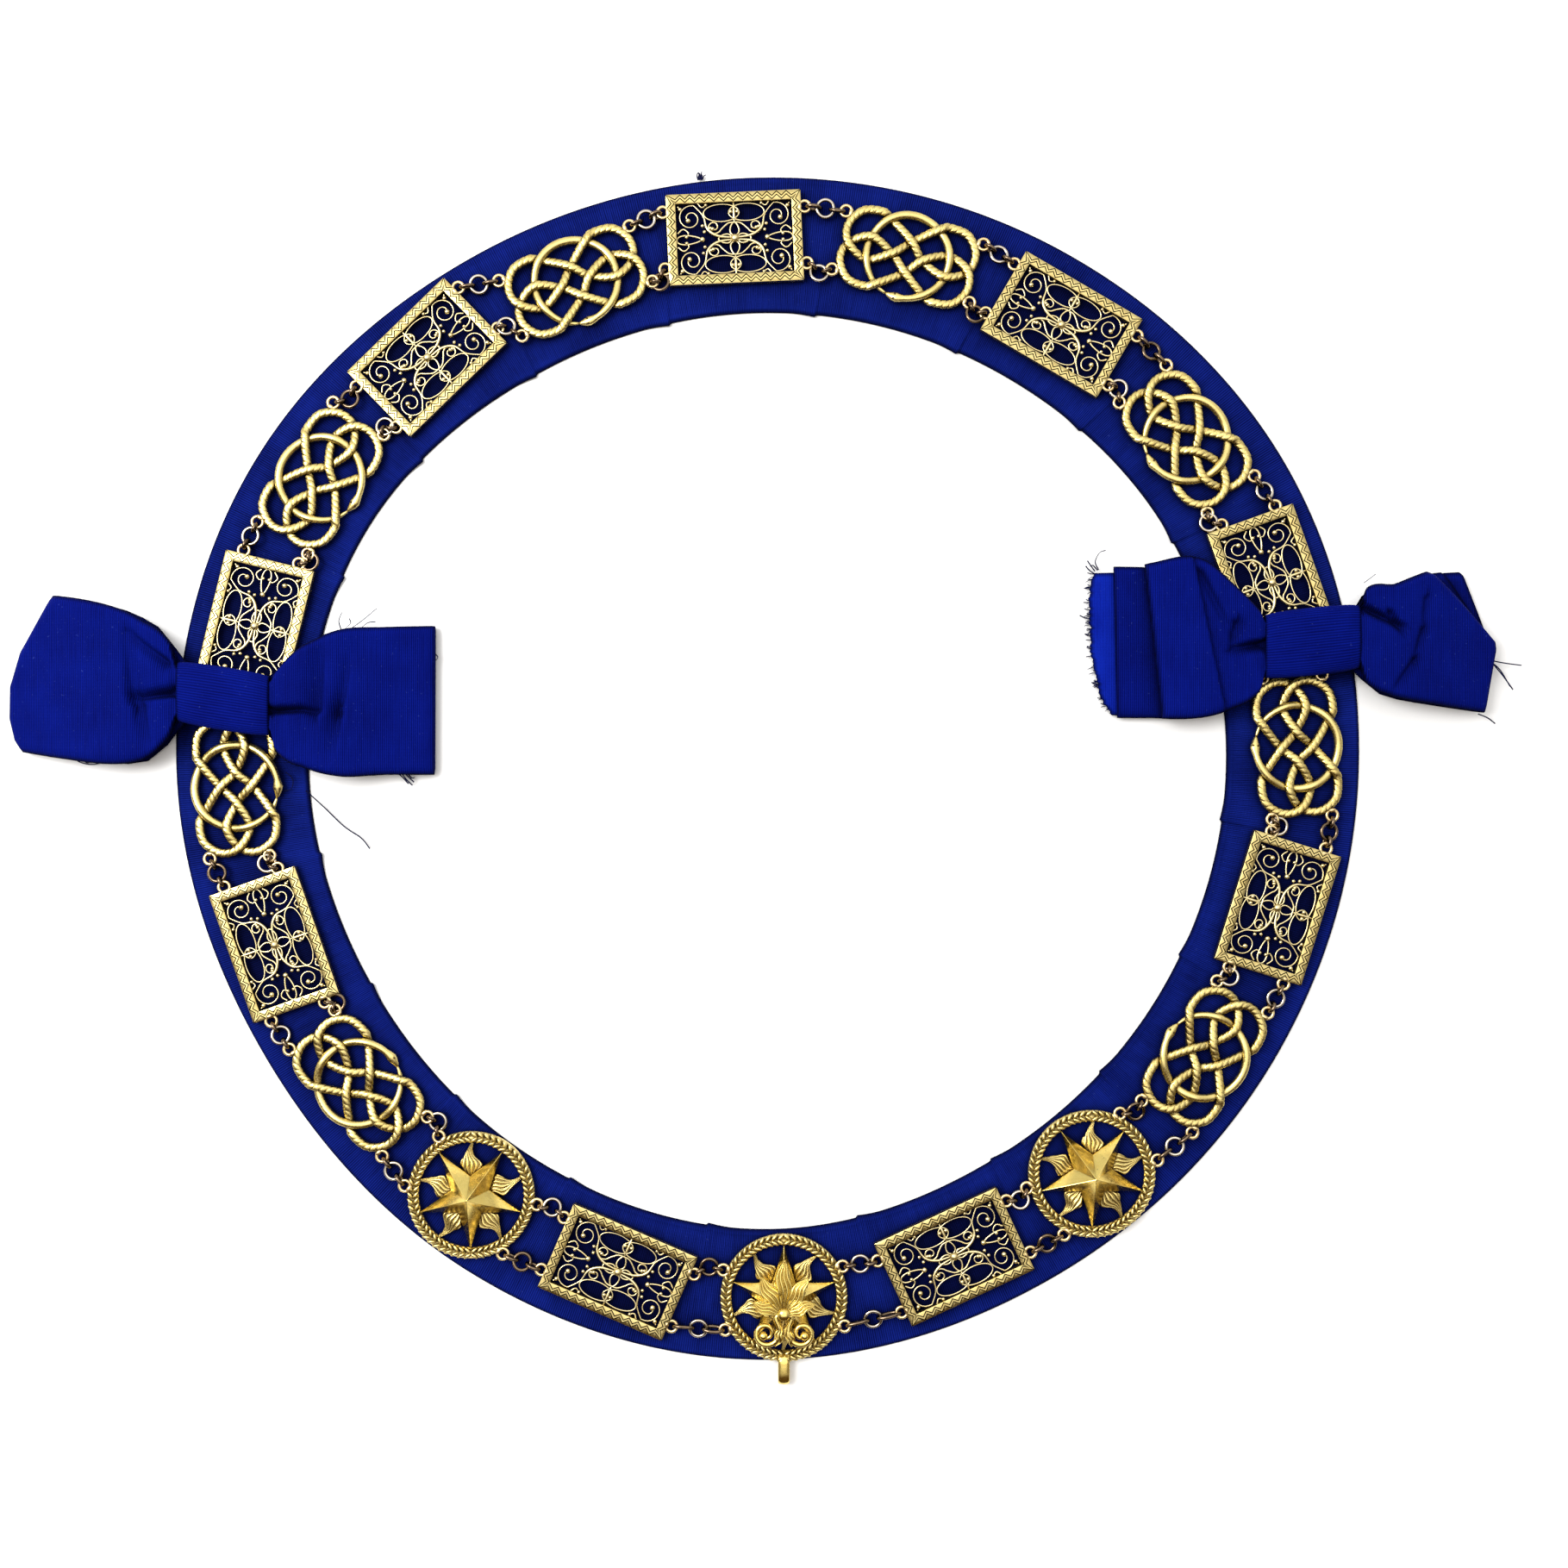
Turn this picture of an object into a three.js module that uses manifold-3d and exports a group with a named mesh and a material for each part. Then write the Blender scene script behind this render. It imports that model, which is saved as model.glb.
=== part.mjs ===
// Chain collar laid flat: a blue grosgrain ribbon ring that carries twenty gilt links in a closed chain,
// with a ribbon bow on each side. Millimetres, +Z up, the top of the collar towards +Y, underside at z = 0.
import * as THREE from 'three';
import { mergeVertices } from 'three/addons/utils/BufferGeometryUtils.js';
import Module from 'manifold-3d';

const wasm = await Module();
wasm.setup();

// Ring: its middle stands a little off the origin, because the bows and the hook reach out unevenly.
const RING_MIDDLE = { x: 5.4, y: 4.6 };

// Ribbon: angles run clockwise from the top, radii from the middle of the ring.
const RIBBON_THICK = 1.5;
const RIBBON_STATIONS = 60;
const TUCK_HEIGHT = 0.5;
const TUCK_DEPTH = 0.25; // share of the ribbon's width that a tuck runs in from the inner edge
const RIBBON_EDGES = [
  { angle: 0, inner: 174.2, outer: 226.2 },
  { angle: 30, inner: 175.2, outer: 228.0 },
  { angle: 60, inner: 177.8, outer: 230.2 },
  { angle: 90, inner: 175.8, outer: 226.8 },
  { angle: 120, inner: 173.6, outer: 224.4 },
  { angle: 150, inner: 173.4, outer: 224.2 },
  { angle: 180, inner: 177.0, outer: 227.2 },
  { angle: 210, inner: 174.6, outer: 224.8 },
  { angle: 240, inner: 173.0, outer: 222.2 },
  { angle: 270, inner: 175.8, outer: 226.6 },
  { angle: 300, inner: 178.4, outer: 229.0 },
  { angle: 330, inner: 174.6, outer: 226.0 },
];

// Links: clockwise from the top; turn is how far a link lies off the ring's tangent, clockwise.
const LINKS = [
  { name: 'plate_01', angle: 356.5, radius: 202.2, turn: 1.0 },
  { name: 'knot_02', angle: 15.4, radius: 201.8, turn: -1.7 },
  { name: 'plate_03', angle: 33.6, radius: 202.6, turn: -3.2 },
  { name: 'knot_04', angle: 52.0, radius: 203.0, turn: -0.5 },
  { name: 'plate_05', angle: 69.9, radius: 205.0, turn: 0.5 },
  { name: 'knot_06', angle: 87.8, radius: 202.2, turn: -1.9 },
  { name: 'plate_07', angle: 105.4, radius: 201.8, turn: 2.0 },
  { name: 'knot_08', angle: 123.5, radius: 200.0, turn: -1.3 },
  { name: 'star_09', angle: 141.4, radius: 198.5, turn: 0 },
  { name: 'plate_10', angle: 159.1, radius: 199.7, turn: -4.1 },
  { name: 'star_11', angle: 178.2, radius: 202.5, turn: 0 },
  { name: 'plate_12', angle: 196.5, radius: 200.7, turn: 7.0 },
  { name: 'star_13', angle: 214.7, radius: 198.5, turn: 0 },
  { name: 'knot_14', angle: 232.3, radius: 197.0, turn: -3.2 },
  { name: 'plate_15', angle: 250.2, radius: 199.7, turn: 0.4 },
  { name: 'knot_16', angle: 267.9, radius: 202.7, turn: -1.0 },
  { name: 'plate_17', angle: 285.4, radius: 202.8, turn: -1.6 },
  { name: 'knot_18', angle: 302.9, radius: 202.8, turn: -0.5 },
  { name: 'plate_19', angle: 320.3, radius: 203.0, turn: -4.5 },
  { name: 'knot_20', angle: 338.5, radius: 199.2, turn: -1.2 },
];
const LINK_LIFT = 0.3; // a link lies this far over the ribbon
const LINK_THICK = 2.6;
const LINK_BASE = RIBBON_THICK + LINK_LIFT;

// Plates
const PLATE = { long: 51.5, wide: 34.6, bar: 3.6 };
const SCROLL = { width: 1.5, thick: 1.6, sink: 0.5, reach: 23.2, rise: 14.4, bulge: 6.6, points: 9 };

// Knots: centre lines of the ropes and of the ring they are laced with, one quarter of the link.
const STRAND = 3.5;
const KNOT = {
  middleEnd: { along: 6.0, across: 0 },
  middleSide: { along: 0, across: 6.0 },
  ringEnd: { along: 15.2, across: 4.2 },
  ringCorner: { along: 12.9, across: 9.2 },
  ringSide: { along: 9.4, across: 12.8 },
  ringTop: { along: 0, across: 15.8 },
  lobeSide: { along: 13.3, across: 14.5 },
  lobeCorner: { along: 20.6, across: 13.4 },
  lobeEnd: { along: 25.0, across: 6.8 },
  endCross: { along: 23.2, across: 0 },
};
const KNOT_CELLS = [
  ['middleEnd', 'ringEnd', 'ringCorner', 'ringSide', 'middleSide'],
  ['ringEnd', 'endCross', 'lobeEnd', 'lobeCorner', 'lobeSide', 'ringSide', 'ringCorner'],
];
const KNOT_EDGE = ['lobeEnd', 'lobeCorner', 'lobeSide', 'ringSide'];

// Stars
const STAR_RING = { outer: 24.25, inner: 20.0, sides: 20 };
const STAR = { tip: 20.6, notch: 8.6, base: 2.2, height: 9.0, overlap: 0.4 };
const RAY = { length: 17.2, width: 6.4, waist: 11.5, thick: 1.7, bend: 1.0 };
const STAR_TURN = { star_09: 180, star_11: 0, star_13: 180 }; // where the first point looks, from +Y
const ORNAMENT = { lobes: 5, reach: 16.0, dip: 8.0, centre: 0.5, bottom: 8.6, thick: 3.0, points: 20 };
const HOOK = { width: 4.4, strip: 1.2, start: 21.5, reach: 32.9, back: 27.6, bend: 1.5, low: 0.5, top: 4.0 };

// Eyes and jump links: an eye stands out from a link's trailing edge, and the jump link that goes
// through it is soldered to the leading edge of the link before.
const EYE = { outer: 2.0, hole: 1.2, thick: 0.8, sides: 6, height: 3.8, stand: 1.35 };
const EDGE_PLACES = {
  plate: { along: 25.7, across: 10.8 },
  knot: { along: 24.4, across: 10.6 },
  star: { along: 21.4, across: 11.4 },
};
const JUMP = { wire: 0.42, halfWidth: 2.2, tilt: 45, sides: 10, wireSides: 5 };

// Bows: out runs away from the middle of the band, back towards +Y; low and high are heights.
const BOW_WALL = 1.1;
const BOW_STEPS = 3;
const NECK = { start: 0.3, end: 17.8, half: 9.7, low: 7.7, high: 11.0 };
const BAND = { wall: 1.2, low: 6.2, high: 12.5, corner: 2.0 };
const BOWS = [
  { name: 'bow_left', x: -205.0, y: 25.8, bandLong: 34.5, bandWide: 23.6 },
  { name: 'bow_right', x: 205.65, y: 47.4, bandLong: 35.6, bandWide: 25.2 },
];
const LOOPS = [
  {
    name: 'bow_left_outer_loop', bow: 'bow_left', side: -1, pullFront: 4.9, pullBack: 16.4,
    sections: [
      { out: 20.5, front: -17.4, back: 18.6, low: 6.6, high: 12.0 },
      { out: 29.0, front: -22.6, back: 28.4, low: 3.0, high: 13.2 },
      { out: 41.5, front: -24.6, back: 34.6, low: 0.5, high: 13.4 },
      { out: 62.0, front: -22.5, back: 38.8, low: 0.4, high: 11.4 },
      { out: 83.95, front: -19.1, back: 40.1, low: 0.8, high: 7.4 },
    ],
  },
  {
    name: 'bow_left_inner_loop', bow: 'bow_left', side: 1, pullFront: 2.0, pullBack: 2.0,
    sections: [
      { out: 20.0, front: -16.0, back: 13.5, low: 6.6, high: 12.0 },
      { out: 28.0, front: -24.7, back: 18.6, low: 5.3, high: 13.2 },
      { out: 43.5, front: -29.2, back: 25.8, low: 2.8, high: 13.4 },
      { out: 60.0, front: -28.6, back: 27.2, low: 0.4, high: 11.4 },
      { out: 78.1, front: -28.6, back: 28.0, low: 0.8, high: 7.4 },
    ],
  },
  {
    name: 'bow_right_inner_loop', bow: 'bow_right', side: -1, pullFront: 7.0, pullBack: 1.0,
    sections: [
      { out: 20.0, front: -16.4, back: 13.8, low: 6.6, high: 12.0 },
      { out: 29.0, front: -24.6, back: 19.8, low: 5.6, high: 13.2 },
      { out: 45.5, front: -29.4, back: 32.2, low: 3.6, high: 13.4 },
      { out: 62.0, front: -29.4, back: 31.6, low: 0.4, high: 10.6 },
      { out: 81.6, front: -27.4, back: 29.6, low: 0.8, high: 4.4 },
    ],
  },
  {
    name: 'bow_right_outer_loop', bow: 'bow_right', side: 1, pullFront: 5.0, pullBack: 11.2,
    sections: [
      { out: 20.5, front: -17.6, back: 18.0, low: 6.6, high: 12.0 },
      { out: 30.5, front: -20.8, back: 21.0, low: 2.4, high: 13.2 },
      { out: 46.0, front: -23.6, back: 26.6, low: 0.4, high: 12.8 },
      { out: 72.5, front: -27.5, back: 26.8, low: 0.8, high: 7.0 },
    ],
  },
];

// Finishes
const BLUE_RIBBON = { color: 0x0c1969, roughness: 0.8, metalness: 0 };
const BOW_RIBBON = { color: 0x14229a, roughness: 0.8, metalness: 0 };
const GILT = { color: 0xd3c180, roughness: 0.32, metalness: 1 };

const group = new THREE.Group();
const collar = new THREE.Group();
collar.position.set(RING_MIDDLE.x, RING_MIDDLE.y, 0);
group.add(collar);

function addPiece(parent, name, geometry, finish) {
  const mesh = new THREE.Mesh(geometry, new THREE.MeshStandardMaterial(finish));
  mesh.name = name;
  parent.add(mesh);
  return mesh;
}

// Shared vertices are merged, so that each shape is one closed skin.
function closedSkin(geometry) {
  geometry.deleteAttribute('normal');
  geometry.deleteAttribute('uv');
  return mergeVertices(geometry, 1e-4);
}

function solid(geometry) {
  const skin = closedSkin(geometry);
  return new wasm.Manifold(new wasm.Mesh({
    numProp: 3,
    vertProperties: skin.attributes.position.array,
    triVerts: Uint32Array.from(skin.index.array),
  }));
}

function fuse(geometries) {
  const body = geometries.map(solid).reduce((whole, next) => whole.add(next));
  const mesh = body.getMesh();
  const geometry = new THREE.BufferGeometry();
  geometry.setAttribute('position', new THREE.BufferAttribute(mesh.vertProperties, 3));
  geometry.setIndex(new THREE.BufferAttribute(mesh.triVerts, 1));
  geometry.computeVertexNormals();
  return geometry;
}

// Moves every corner of a shape by a rule that changes the point it is given.
function reshape(geometry, rule) {
  const places = geometry.attributes.position;
  const point = new THREE.Vector3();
  for (let i = 0; i < places.count; i += 1) {
    point.fromBufferAttribute(places, i);
    rule(point);
    places.setXYZ(i, point.x, point.y, point.z);
  }
  return geometry;
}

function slab(shape, bottom, thick) {
  const geometry = new THREE.ExtrudeGeometry(shape, { depth: thick, bevelEnabled: false });
  return geometry.translate(0, 0, bottom);
}

function roundOutline(radius, sides) {
  const corners = Array.from({ length: sides }, (_, i) => (2 * Math.PI * i) / sides);
  return corners.map((turn) => new THREE.Vector2(radius * Math.cos(turn), radius * Math.sin(turn)));
}

function washer(outer, inner, sides, bottom, thick) {
  const shape = new THREE.Shape(roundOutline(outer, sides));
  shape.holes.push(new THREE.Path(roundOutline(inner, sides)));
  return slab(shape, bottom, thick);
}

// Moves the sides of a closed outline inwards, or outwards by a negative distance.
function inset(corners, distance) {
  return corners.map((corner, i) => {
    const before = corners[(i + corners.length - 1) % corners.length];
    const after = corners[(i + 1) % corners.length];
    const sideIn = corner.clone().sub(before).normalize();
    const sideOut = after.clone().sub(corner).normalize();
    const normalIn = new THREE.Vector2(-sideIn.y, sideIn.x);
    const normalOut = new THREE.Vector2(-sideOut.y, sideOut.x);
    const share = distance / (1 + normalIn.dot(normalOut));
    return corner.clone().addScaledVector(normalIn, share).addScaledVector(normalOut, share);
  });
}

const radians = THREE.MathUtils.degToRad;
const clockwise = (angle, radius) => new THREE.Vector3(
  radius * Math.sin(radians(angle)),
  radius * Math.cos(radians(angle)),
  0,
);

// Ribbon: a flat ring whose edges follow the table, with a tuck raised at the inner edge between links.
function edgeCurve(edge) {
  return new THREE.CatmullRomCurve3(RIBBON_EDGES.map((row) => clockwise(row.angle, row[edge])), true);
}

function tuckAngles() {
  return LINKS.map((link, i) => {
    const next = LINKS[(i + 1) % LINKS.length];
    const step = (next.angle - link.angle + 360) % 360;
    return (link.angle + step / 2) % 360;
  });
}

function ribbonCollar() {
  const profile = [[0, 0], [1, 0], [1, RIBBON_THICK], [TUCK_DEPTH, RIBBON_THICK], [0, RIBBON_THICK], [0, 0]];
  const points = profile.map(([share, height]) => new THREE.Vector2(1 + share, height));
  const geometry = new THREE.LatheGeometry(points, RIBBON_STATIONS).rotateX(Math.PI / 2);
  const inner = edgeCurve('inner');
  const outer = edgeCurve('outer');
  const tucks = tuckAngles();
  const stationAngle = 360 / RIBBON_STATIONS;
  return closedSkin(reshape(geometry, (point) => {
    const share = Math.hypot(point.x, point.y) - 1;
    const turn = (Math.atan2(point.x, point.y) / (2 * Math.PI) + 1) % 1;
    const station = Math.round(turn * RIBBON_STATIONS) % RIBBON_STATIONS;
    const tucked = tucks.some((angle) => Math.round(angle / stationAngle) % RIBBON_STATIONS === station);
    const onTopEdge = share < TUCK_DEPTH / 2 && point.z > RIBBON_THICK / 2;
    const place = inner.getPoint(station / RIBBON_STATIONS);
    place.lerp(outer.getPoint(station / RIBBON_STATIONS), share);
    point.set(place.x, place.y, point.z + (tucked && onTopEdge ? TUCK_HEIGHT : 0));
  }));
}

// Plate: an oblong frame with two mirrored scrolls crossing its window.
function scrollStrip(side) {
  const left = [];
  const right = [];
  for (let i = 0; i < SCROLL.points; i += 1) {
    const share = (2 * i) / (SCROLL.points - 1) - 1;
    const along = SCROLL.reach * share;
    const across = side * (SCROLL.rise * share ** 3 - SCROLL.bulge * Math.sin(Math.PI * share));
    left.push(new THREE.Vector2(along, across + SCROLL.width / 2));
    right.unshift(new THREE.Vector2(along, across - SCROLL.width / 2));
  }
  const shape = new THREE.Shape([...left, ...right]);
  return slab(shape, LINK_BASE + SCROLL.sink, SCROLL.thick);
}

function oblong(long, wide) {
  const [x, y] = [long / 2, wide / 2];
  return [[-x, -y], [x, -y], [x, y], [-x, y]].map((corner) => new THREE.Vector2(...corner));
}

function plateBody() {
  const frame = new THREE.Shape(oblong(PLATE.long, PLATE.wide));
  frame.holes.push(new THREE.Path(oblong(PLATE.long - 2 * PLATE.bar, PLATE.wide - 2 * PLATE.bar)));
  return [slab(frame, LINK_BASE, LINK_THICK), scrollStrip(1), scrollStrip(-1)];
}

// Knot: the gaps between the strands are cut through one slab; corners are mirrored from one quarter.
function knotCorners(names, alongSign, acrossSign) {
  const corners = names.map((name) => (
    new THREE.Vector2(alongSign * KNOT[name].along, acrossSign * KNOT[name].across)
  ));
  return alongSign * acrossSign < 0 ? corners.reverse() : corners;
}

function knotBody() {
  const middle = [
    knotCorners(['middleEnd'], 1, 1), knotCorners(['middleSide'], 1, 1),
    knotCorners(['middleEnd'], -1, 1), knotCorners(['middleSide'], 1, -1),
  ].flat();
  const gaps = [middle];
  for (const acrossSign of [1, -1]) {
    const half = knotCorners(['middleSide', 'ringSide', 'ringTop'], 1, acrossSign);
    const mirrored = knotCorners(['ringSide'], -1, acrossSign);
    gaps.push(acrossSign > 0 ? [...half, ...mirrored] : [...mirrored, ...half]);
    for (const alongSign of [1, -1]) {
      KNOT_CELLS.forEach((cell) => gaps.push(knotCorners(cell, alongSign, acrossSign)));
    }
  }
  const outline = [
    knotCorners(['endCross'], 1, 1), knotCorners(KNOT_EDGE, 1, 1), knotCorners(['ringTop'], 1, 1),
    knotCorners(KNOT_EDGE, -1, 1), knotCorners(['endCross'], -1, 1), knotCorners(KNOT_EDGE, -1, -1),
    knotCorners(['ringTop'], 1, -1), knotCorners(KNOT_EDGE, 1, -1),
  ].flat();
  const shape = new THREE.Shape(inset(outline, -STRAND / 2));
  gaps.forEach((gap) => shape.holes.push(new THREE.Path(inset(gap, STRAND / 2))));
  return [slab(shape, LINK_BASE, LINK_THICK)];
}

// Star: a ring, a faceted star whose tips meet it, and a leaf between each two points.
function starRing() {
  return washer(STAR_RING.outer, STAR_RING.inner, STAR_RING.sides, LINK_BASE, LINK_THICK);
}

function facetedStar() {
  const cone = new THREE.ConeGeometry(1, STAR.height, 10).rotateX(Math.PI / 2);
  return reshape(cone, (point) => {
    const tenth = Math.round((Math.atan2(point.x, point.y) / (2 * Math.PI)) * 10 + 10) % 10;
    const onRim = Math.hypot(point.x, point.y) > 0.5;
    const reach = onRim ? [STAR.tip, STAR.notch][tenth % 2] : 0;
    const place = clockwise(36 * tenth, reach);
    point.set(place.x, place.y, point.z + STAR.height / 2 + LINK_BASE + STAR.base);
  });
}

function flameLeaf(fifth) {
  const half = RAY.width / 2;
  const outline = [[0, 0], [half, RAY.waist], [RAY.bend, RAY.length], [-half, RAY.waist]];
  const shape = new THREE.Shape(outline.map((corner) => new THREE.Vector2(...corner)));
  const leaf = slab(shape, LINK_BASE, RAY.thick);
  return leaf.rotateZ(-radians(72 * fifth + 36));
}

function starCore() {
  const footHeight = STAR.base + STAR.overlap;
  const foot = new THREE.CylinderGeometry(STAR.notch, STAR.notch, footHeight, 10);
  foot.rotateX(Math.PI / 2).translate(0, 0, LINK_BASE + footHeight / 2);
  const leaves = [0, 1, 2, 3, 4].map(flameLeaf);
  return [facetedStar(), foot, ...leaves];
}

function leafOrnament() {
  const outline = [];
  for (let i = 0; i < ORNAMENT.points; i += 1) {
    const turn = (2 * Math.PI * i) / ORNAMENT.points;
    const wave = (1 + Math.cos(ORNAMENT.lobes * turn)) / 2;
    const reach = ORNAMENT.dip + (ORNAMENT.reach - ORNAMENT.dip) * wave;
    outline.push(new THREE.Vector2(reach * Math.sin(-turn), reach * Math.cos(turn) + ORNAMENT.centre));
  }
  return slab(new THREE.Shape(outline), LINK_BASE + ORNAMENT.bottom, ORNAMENT.thick);
}

function pendantHook() {
  const { strip, start, reach, back, bend, low, top } = HOOK;
  const outline = [
    [start, top], [reach - bend, top], [reach, top - bend], [reach, low + bend], [reach - bend, low],
    [back, low], [back, low + strip], [reach - bend, low + strip], [reach - strip, low + bend],
    [reach - strip, top - bend], [reach - bend, top - strip], [start, top - strip],
  ];
  const shape = new THREE.Shape(outline.map((corner) => new THREE.Vector2(...corner)));
  const side = new THREE.ExtrudeGeometry(shape, { depth: HOOK.width, bevelEnabled: false });
  return side.translate(0, 0, -HOOK.width / 2).rotateX(Math.PI / 2).rotateZ(-Math.PI / 2);
}

// A link lies with its length along the ring and its outer side towards local +Y.
function linkTurn(link) {
  return -radians(link.angle + link.turn);
}

function starBody(link) {
  const turn = radians(STAR_TURN[link.name]) - linkTurn(link);
  const middle = link.name === 'star_11' ? [leafOrnament(), pendantHook()] : [];
  const turned = [...starCore(), ...middle].map((geometry) => geometry.rotateZ(turn));
  return [starRing(), ...turned];
}

const BODIES = { plate: plateBody, knot: knotBody, star: starBody };
const kindOf = (link) => link.name.split('_')[0];

function linkMatrix(link) {
  const matrix = new THREE.Matrix4().makeRotationZ(linkTurn(link));
  return matrix.setPosition(clockwise(link.angle, link.radius));
}

function edgePlace(link, alongSign, acrossSign, stand) {
  const place = EDGE_PLACES[kindOf(link)];
  return new THREE.Vector3(alongSign * (place.along + stand), acrossSign * place.across, EYE.height);
}

function eye(link, acrossSign) {
  const place = edgePlace(link, -1, acrossSign, EYE.stand);
  const ring = washer(EYE.outer, EYE.hole, EYE.sides, -EYE.thick / 2, EYE.thick);
  return ring.translate(place.x, place.y, place.z);
}

// Jump link: a long ring from this link's leading edge, clear through the middle of the next link's eye.
function jumpLink(link, next, acrossSign) {
  const here = edgePlace(link, 1, acrossSign, 0);
  const there = edgePlace(next, -1, acrossSign, EYE.stand);
  there.applyMatrix4(linkMatrix(next)).applyMatrix4(linkMatrix(link).invert());
  const way = there.clone().sub(here);
  const middle = here.clone().lerp(there, 0.5);
  const ring = new THREE.TorusGeometry(JUMP.halfWidth, JUMP.wire, JUMP.wireSides, JUMP.sides);
  reshape(ring, (point) => {
    point.x += Math.sign(point.x) * (way.length() / 2 - JUMP.halfWidth);
  });
  ring.rotateX(radians(JUMP.tilt) * acrossSign);
  return ring.rotateZ(Math.atan2(way.y, way.x)).translate(middle.x, middle.y, middle.z);
}

function linkGeometry(link, next) {
  const pieces = BODIES[kindOf(link)](link);
  for (const acrossSign of [1, -1]) {
    pieces.push(eye(link, acrossSign), jumpLink(link, next, acrossSign));
  }
  return fuse(pieces);
}

// Bow loop: ribbon laid out from the neck, folded over at its end and brought back above itself.
// Each stop along that path is a strip across the ribbon, given on its outer and its inner face.
function loopPath(loop) {
  const neck = [NECK.start, NECK.end].map((out) => (
    { out, front: -NECK.half, back: NECK.half, low: NECK.low, high: NECK.high }
  ));
  const rows = [...neck, ...loop.sections];
  const stops = rows.map((row, i) => {
    const wallIn = { 0: BOW_WALL, [rows.length - 1]: -BOW_WALL }[i] ?? 0;
    return { ...row, inner: row.out + wallIn };
  });
  const lower = stops.map((stop) => ({ ...stop, outerHeight: stop.low, innerHeight: stop.low + BOW_WALL }));
  const upper = stops.map((stop) => ({ ...stop, outerHeight: stop.high, innerHeight: stop.high - BOW_WALL }));
  return [...lower, ...upper.reverse()];
}

function loopStrip(loop, stop) {
  const reach = loop.sections[loop.sections.length - 1].out;
  const place = (share, out, height) => {
    const across = 2 * share - 1;
    const pull = (across > 0 ? loop.pullBack : loop.pullFront) * across ** 2;
    const pulled = out - pull * Math.max(0, (out - NECK.end) / (reach - NECK.end));
    return new THREE.Vector3(loop.side * pulled, THREE.MathUtils.lerp(stop.front, stop.back, share), height);
  };
  const shares = Array.from({ length: BOW_STEPS + 1 }, (_, i) => i / BOW_STEPS);
  return [
    ...shares.map((share) => place(share, stop.out, stop.outerHeight)),
    ...shares.map((share) => place(1 - share, stop.inner, stop.innerHeight)),
  ];
}

// Joins closed strips one to the next, and the last one to the first, into one skin.
function joinStrips(strips, inwards) {
  const count = strips[0].length;
  const index = [];
  strips.forEach((strip, i) => {
    const next = (i + 1) % strips.length;
    strip.forEach((point, j) => {
      const beside = (j + 1) % count;
      const corners = [i * count + j, next * count + j, next * count + beside, i * count + beside];
      const [a, b, c, d] = inwards ? corners.reverse() : corners;
      index.push(a, b, c, a, c, d);
    });
  });
  const geometry = new THREE.BufferGeometry().setFromPoints(strips.flat());
  return geometry.setIndex(index);
}

function bowLoop(loop) {
  const strips = loopPath(loop).map((stop) => loopStrip(loop, stop));
  return joinStrips(strips, loop.side > 0);
}

function bandRing(bow) {
  const rounded = (wide, low, high, corner) => {
    const half = wide / 2;
    return [
      [half - corner, low], [half, low + corner], [half, high - corner], [half - corner, high],
      [corner - half, high], [-half, high - corner], [-half, low + corner], [corner - half, low],
    ].map((point) => new THREE.Vector2(...point));
  };
  const shape = new THREE.Shape(rounded(bow.bandWide, BAND.low, BAND.high, BAND.corner));
  const hole = rounded(
    bow.bandWide - 2 * BAND.wall, BAND.low + BAND.wall, BAND.high - BAND.wall, BAND.corner - BAND.wall,
  );
  shape.holes.push(new THREE.Path(hole));
  const sleeve = new THREE.ExtrudeGeometry(shape, { depth: bow.bandLong, bevelEnabled: false });
  return sleeve.translate(0, 0, -bow.bandLong / 2).rotateX(Math.PI / 2).rotateZ(Math.PI / 2);
}

addPiece(collar, 'ribbon_collar', ribbonCollar(), BLUE_RIBBON);

LINKS.forEach((link, i) => {
  const next = LINKS[(i + 1) % LINKS.length];
  const mesh = addPiece(collar, link.name, linkGeometry(link, next), GILT);
  mesh.applyMatrix4(linkMatrix(link));
});

BOWS.forEach((bow) => {
  const place = new THREE.Group();
  place.position.set(bow.x, bow.y, 0);
  collar.add(place);
  addPiece(place, `${bow.name}_band`, closedSkin(bandRing(bow)), BOW_RIBBON);
  const loops = LOOPS.filter((loop) => loop.bow === bow.name);
  loops.forEach((loop) => addPiece(place, loop.name, bowLoop(loop), BOW_RIBBON));
});

export default group;
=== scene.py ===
"""A ceremonial chain collar laid out on a table: gilt links on jump rings, a blue ribbon and two bows."""
import math
import random

import bmesh
import bpy
from mathutils import Matrix, Vector, noise


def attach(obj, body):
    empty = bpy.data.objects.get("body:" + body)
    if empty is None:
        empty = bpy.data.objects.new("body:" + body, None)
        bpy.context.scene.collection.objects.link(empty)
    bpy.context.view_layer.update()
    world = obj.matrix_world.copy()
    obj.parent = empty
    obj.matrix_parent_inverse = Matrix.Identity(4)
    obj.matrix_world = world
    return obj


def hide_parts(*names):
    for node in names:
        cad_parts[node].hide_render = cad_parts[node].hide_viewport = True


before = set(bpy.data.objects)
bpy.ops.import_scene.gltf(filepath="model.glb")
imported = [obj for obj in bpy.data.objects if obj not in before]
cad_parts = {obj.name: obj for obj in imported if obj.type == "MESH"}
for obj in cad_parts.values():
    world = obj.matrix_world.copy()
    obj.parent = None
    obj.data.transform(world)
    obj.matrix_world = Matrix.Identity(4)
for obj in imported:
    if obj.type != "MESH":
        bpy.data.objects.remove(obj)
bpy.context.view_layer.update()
bpy.ops.object.select_all(action="DESELECT")


# Camera: straight above the collar as it lies, with the top of the picture towards +Y.
# It stands a little to the right of the collar's own middle, where the picture's middle is.
VIEW_MIDDLE = (0.0118, -0.0018)
VIEW_HEIGHT = 0.62
VIEW_WIDTH = 0.5985
SHARP_LEVEL = 0.003

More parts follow.
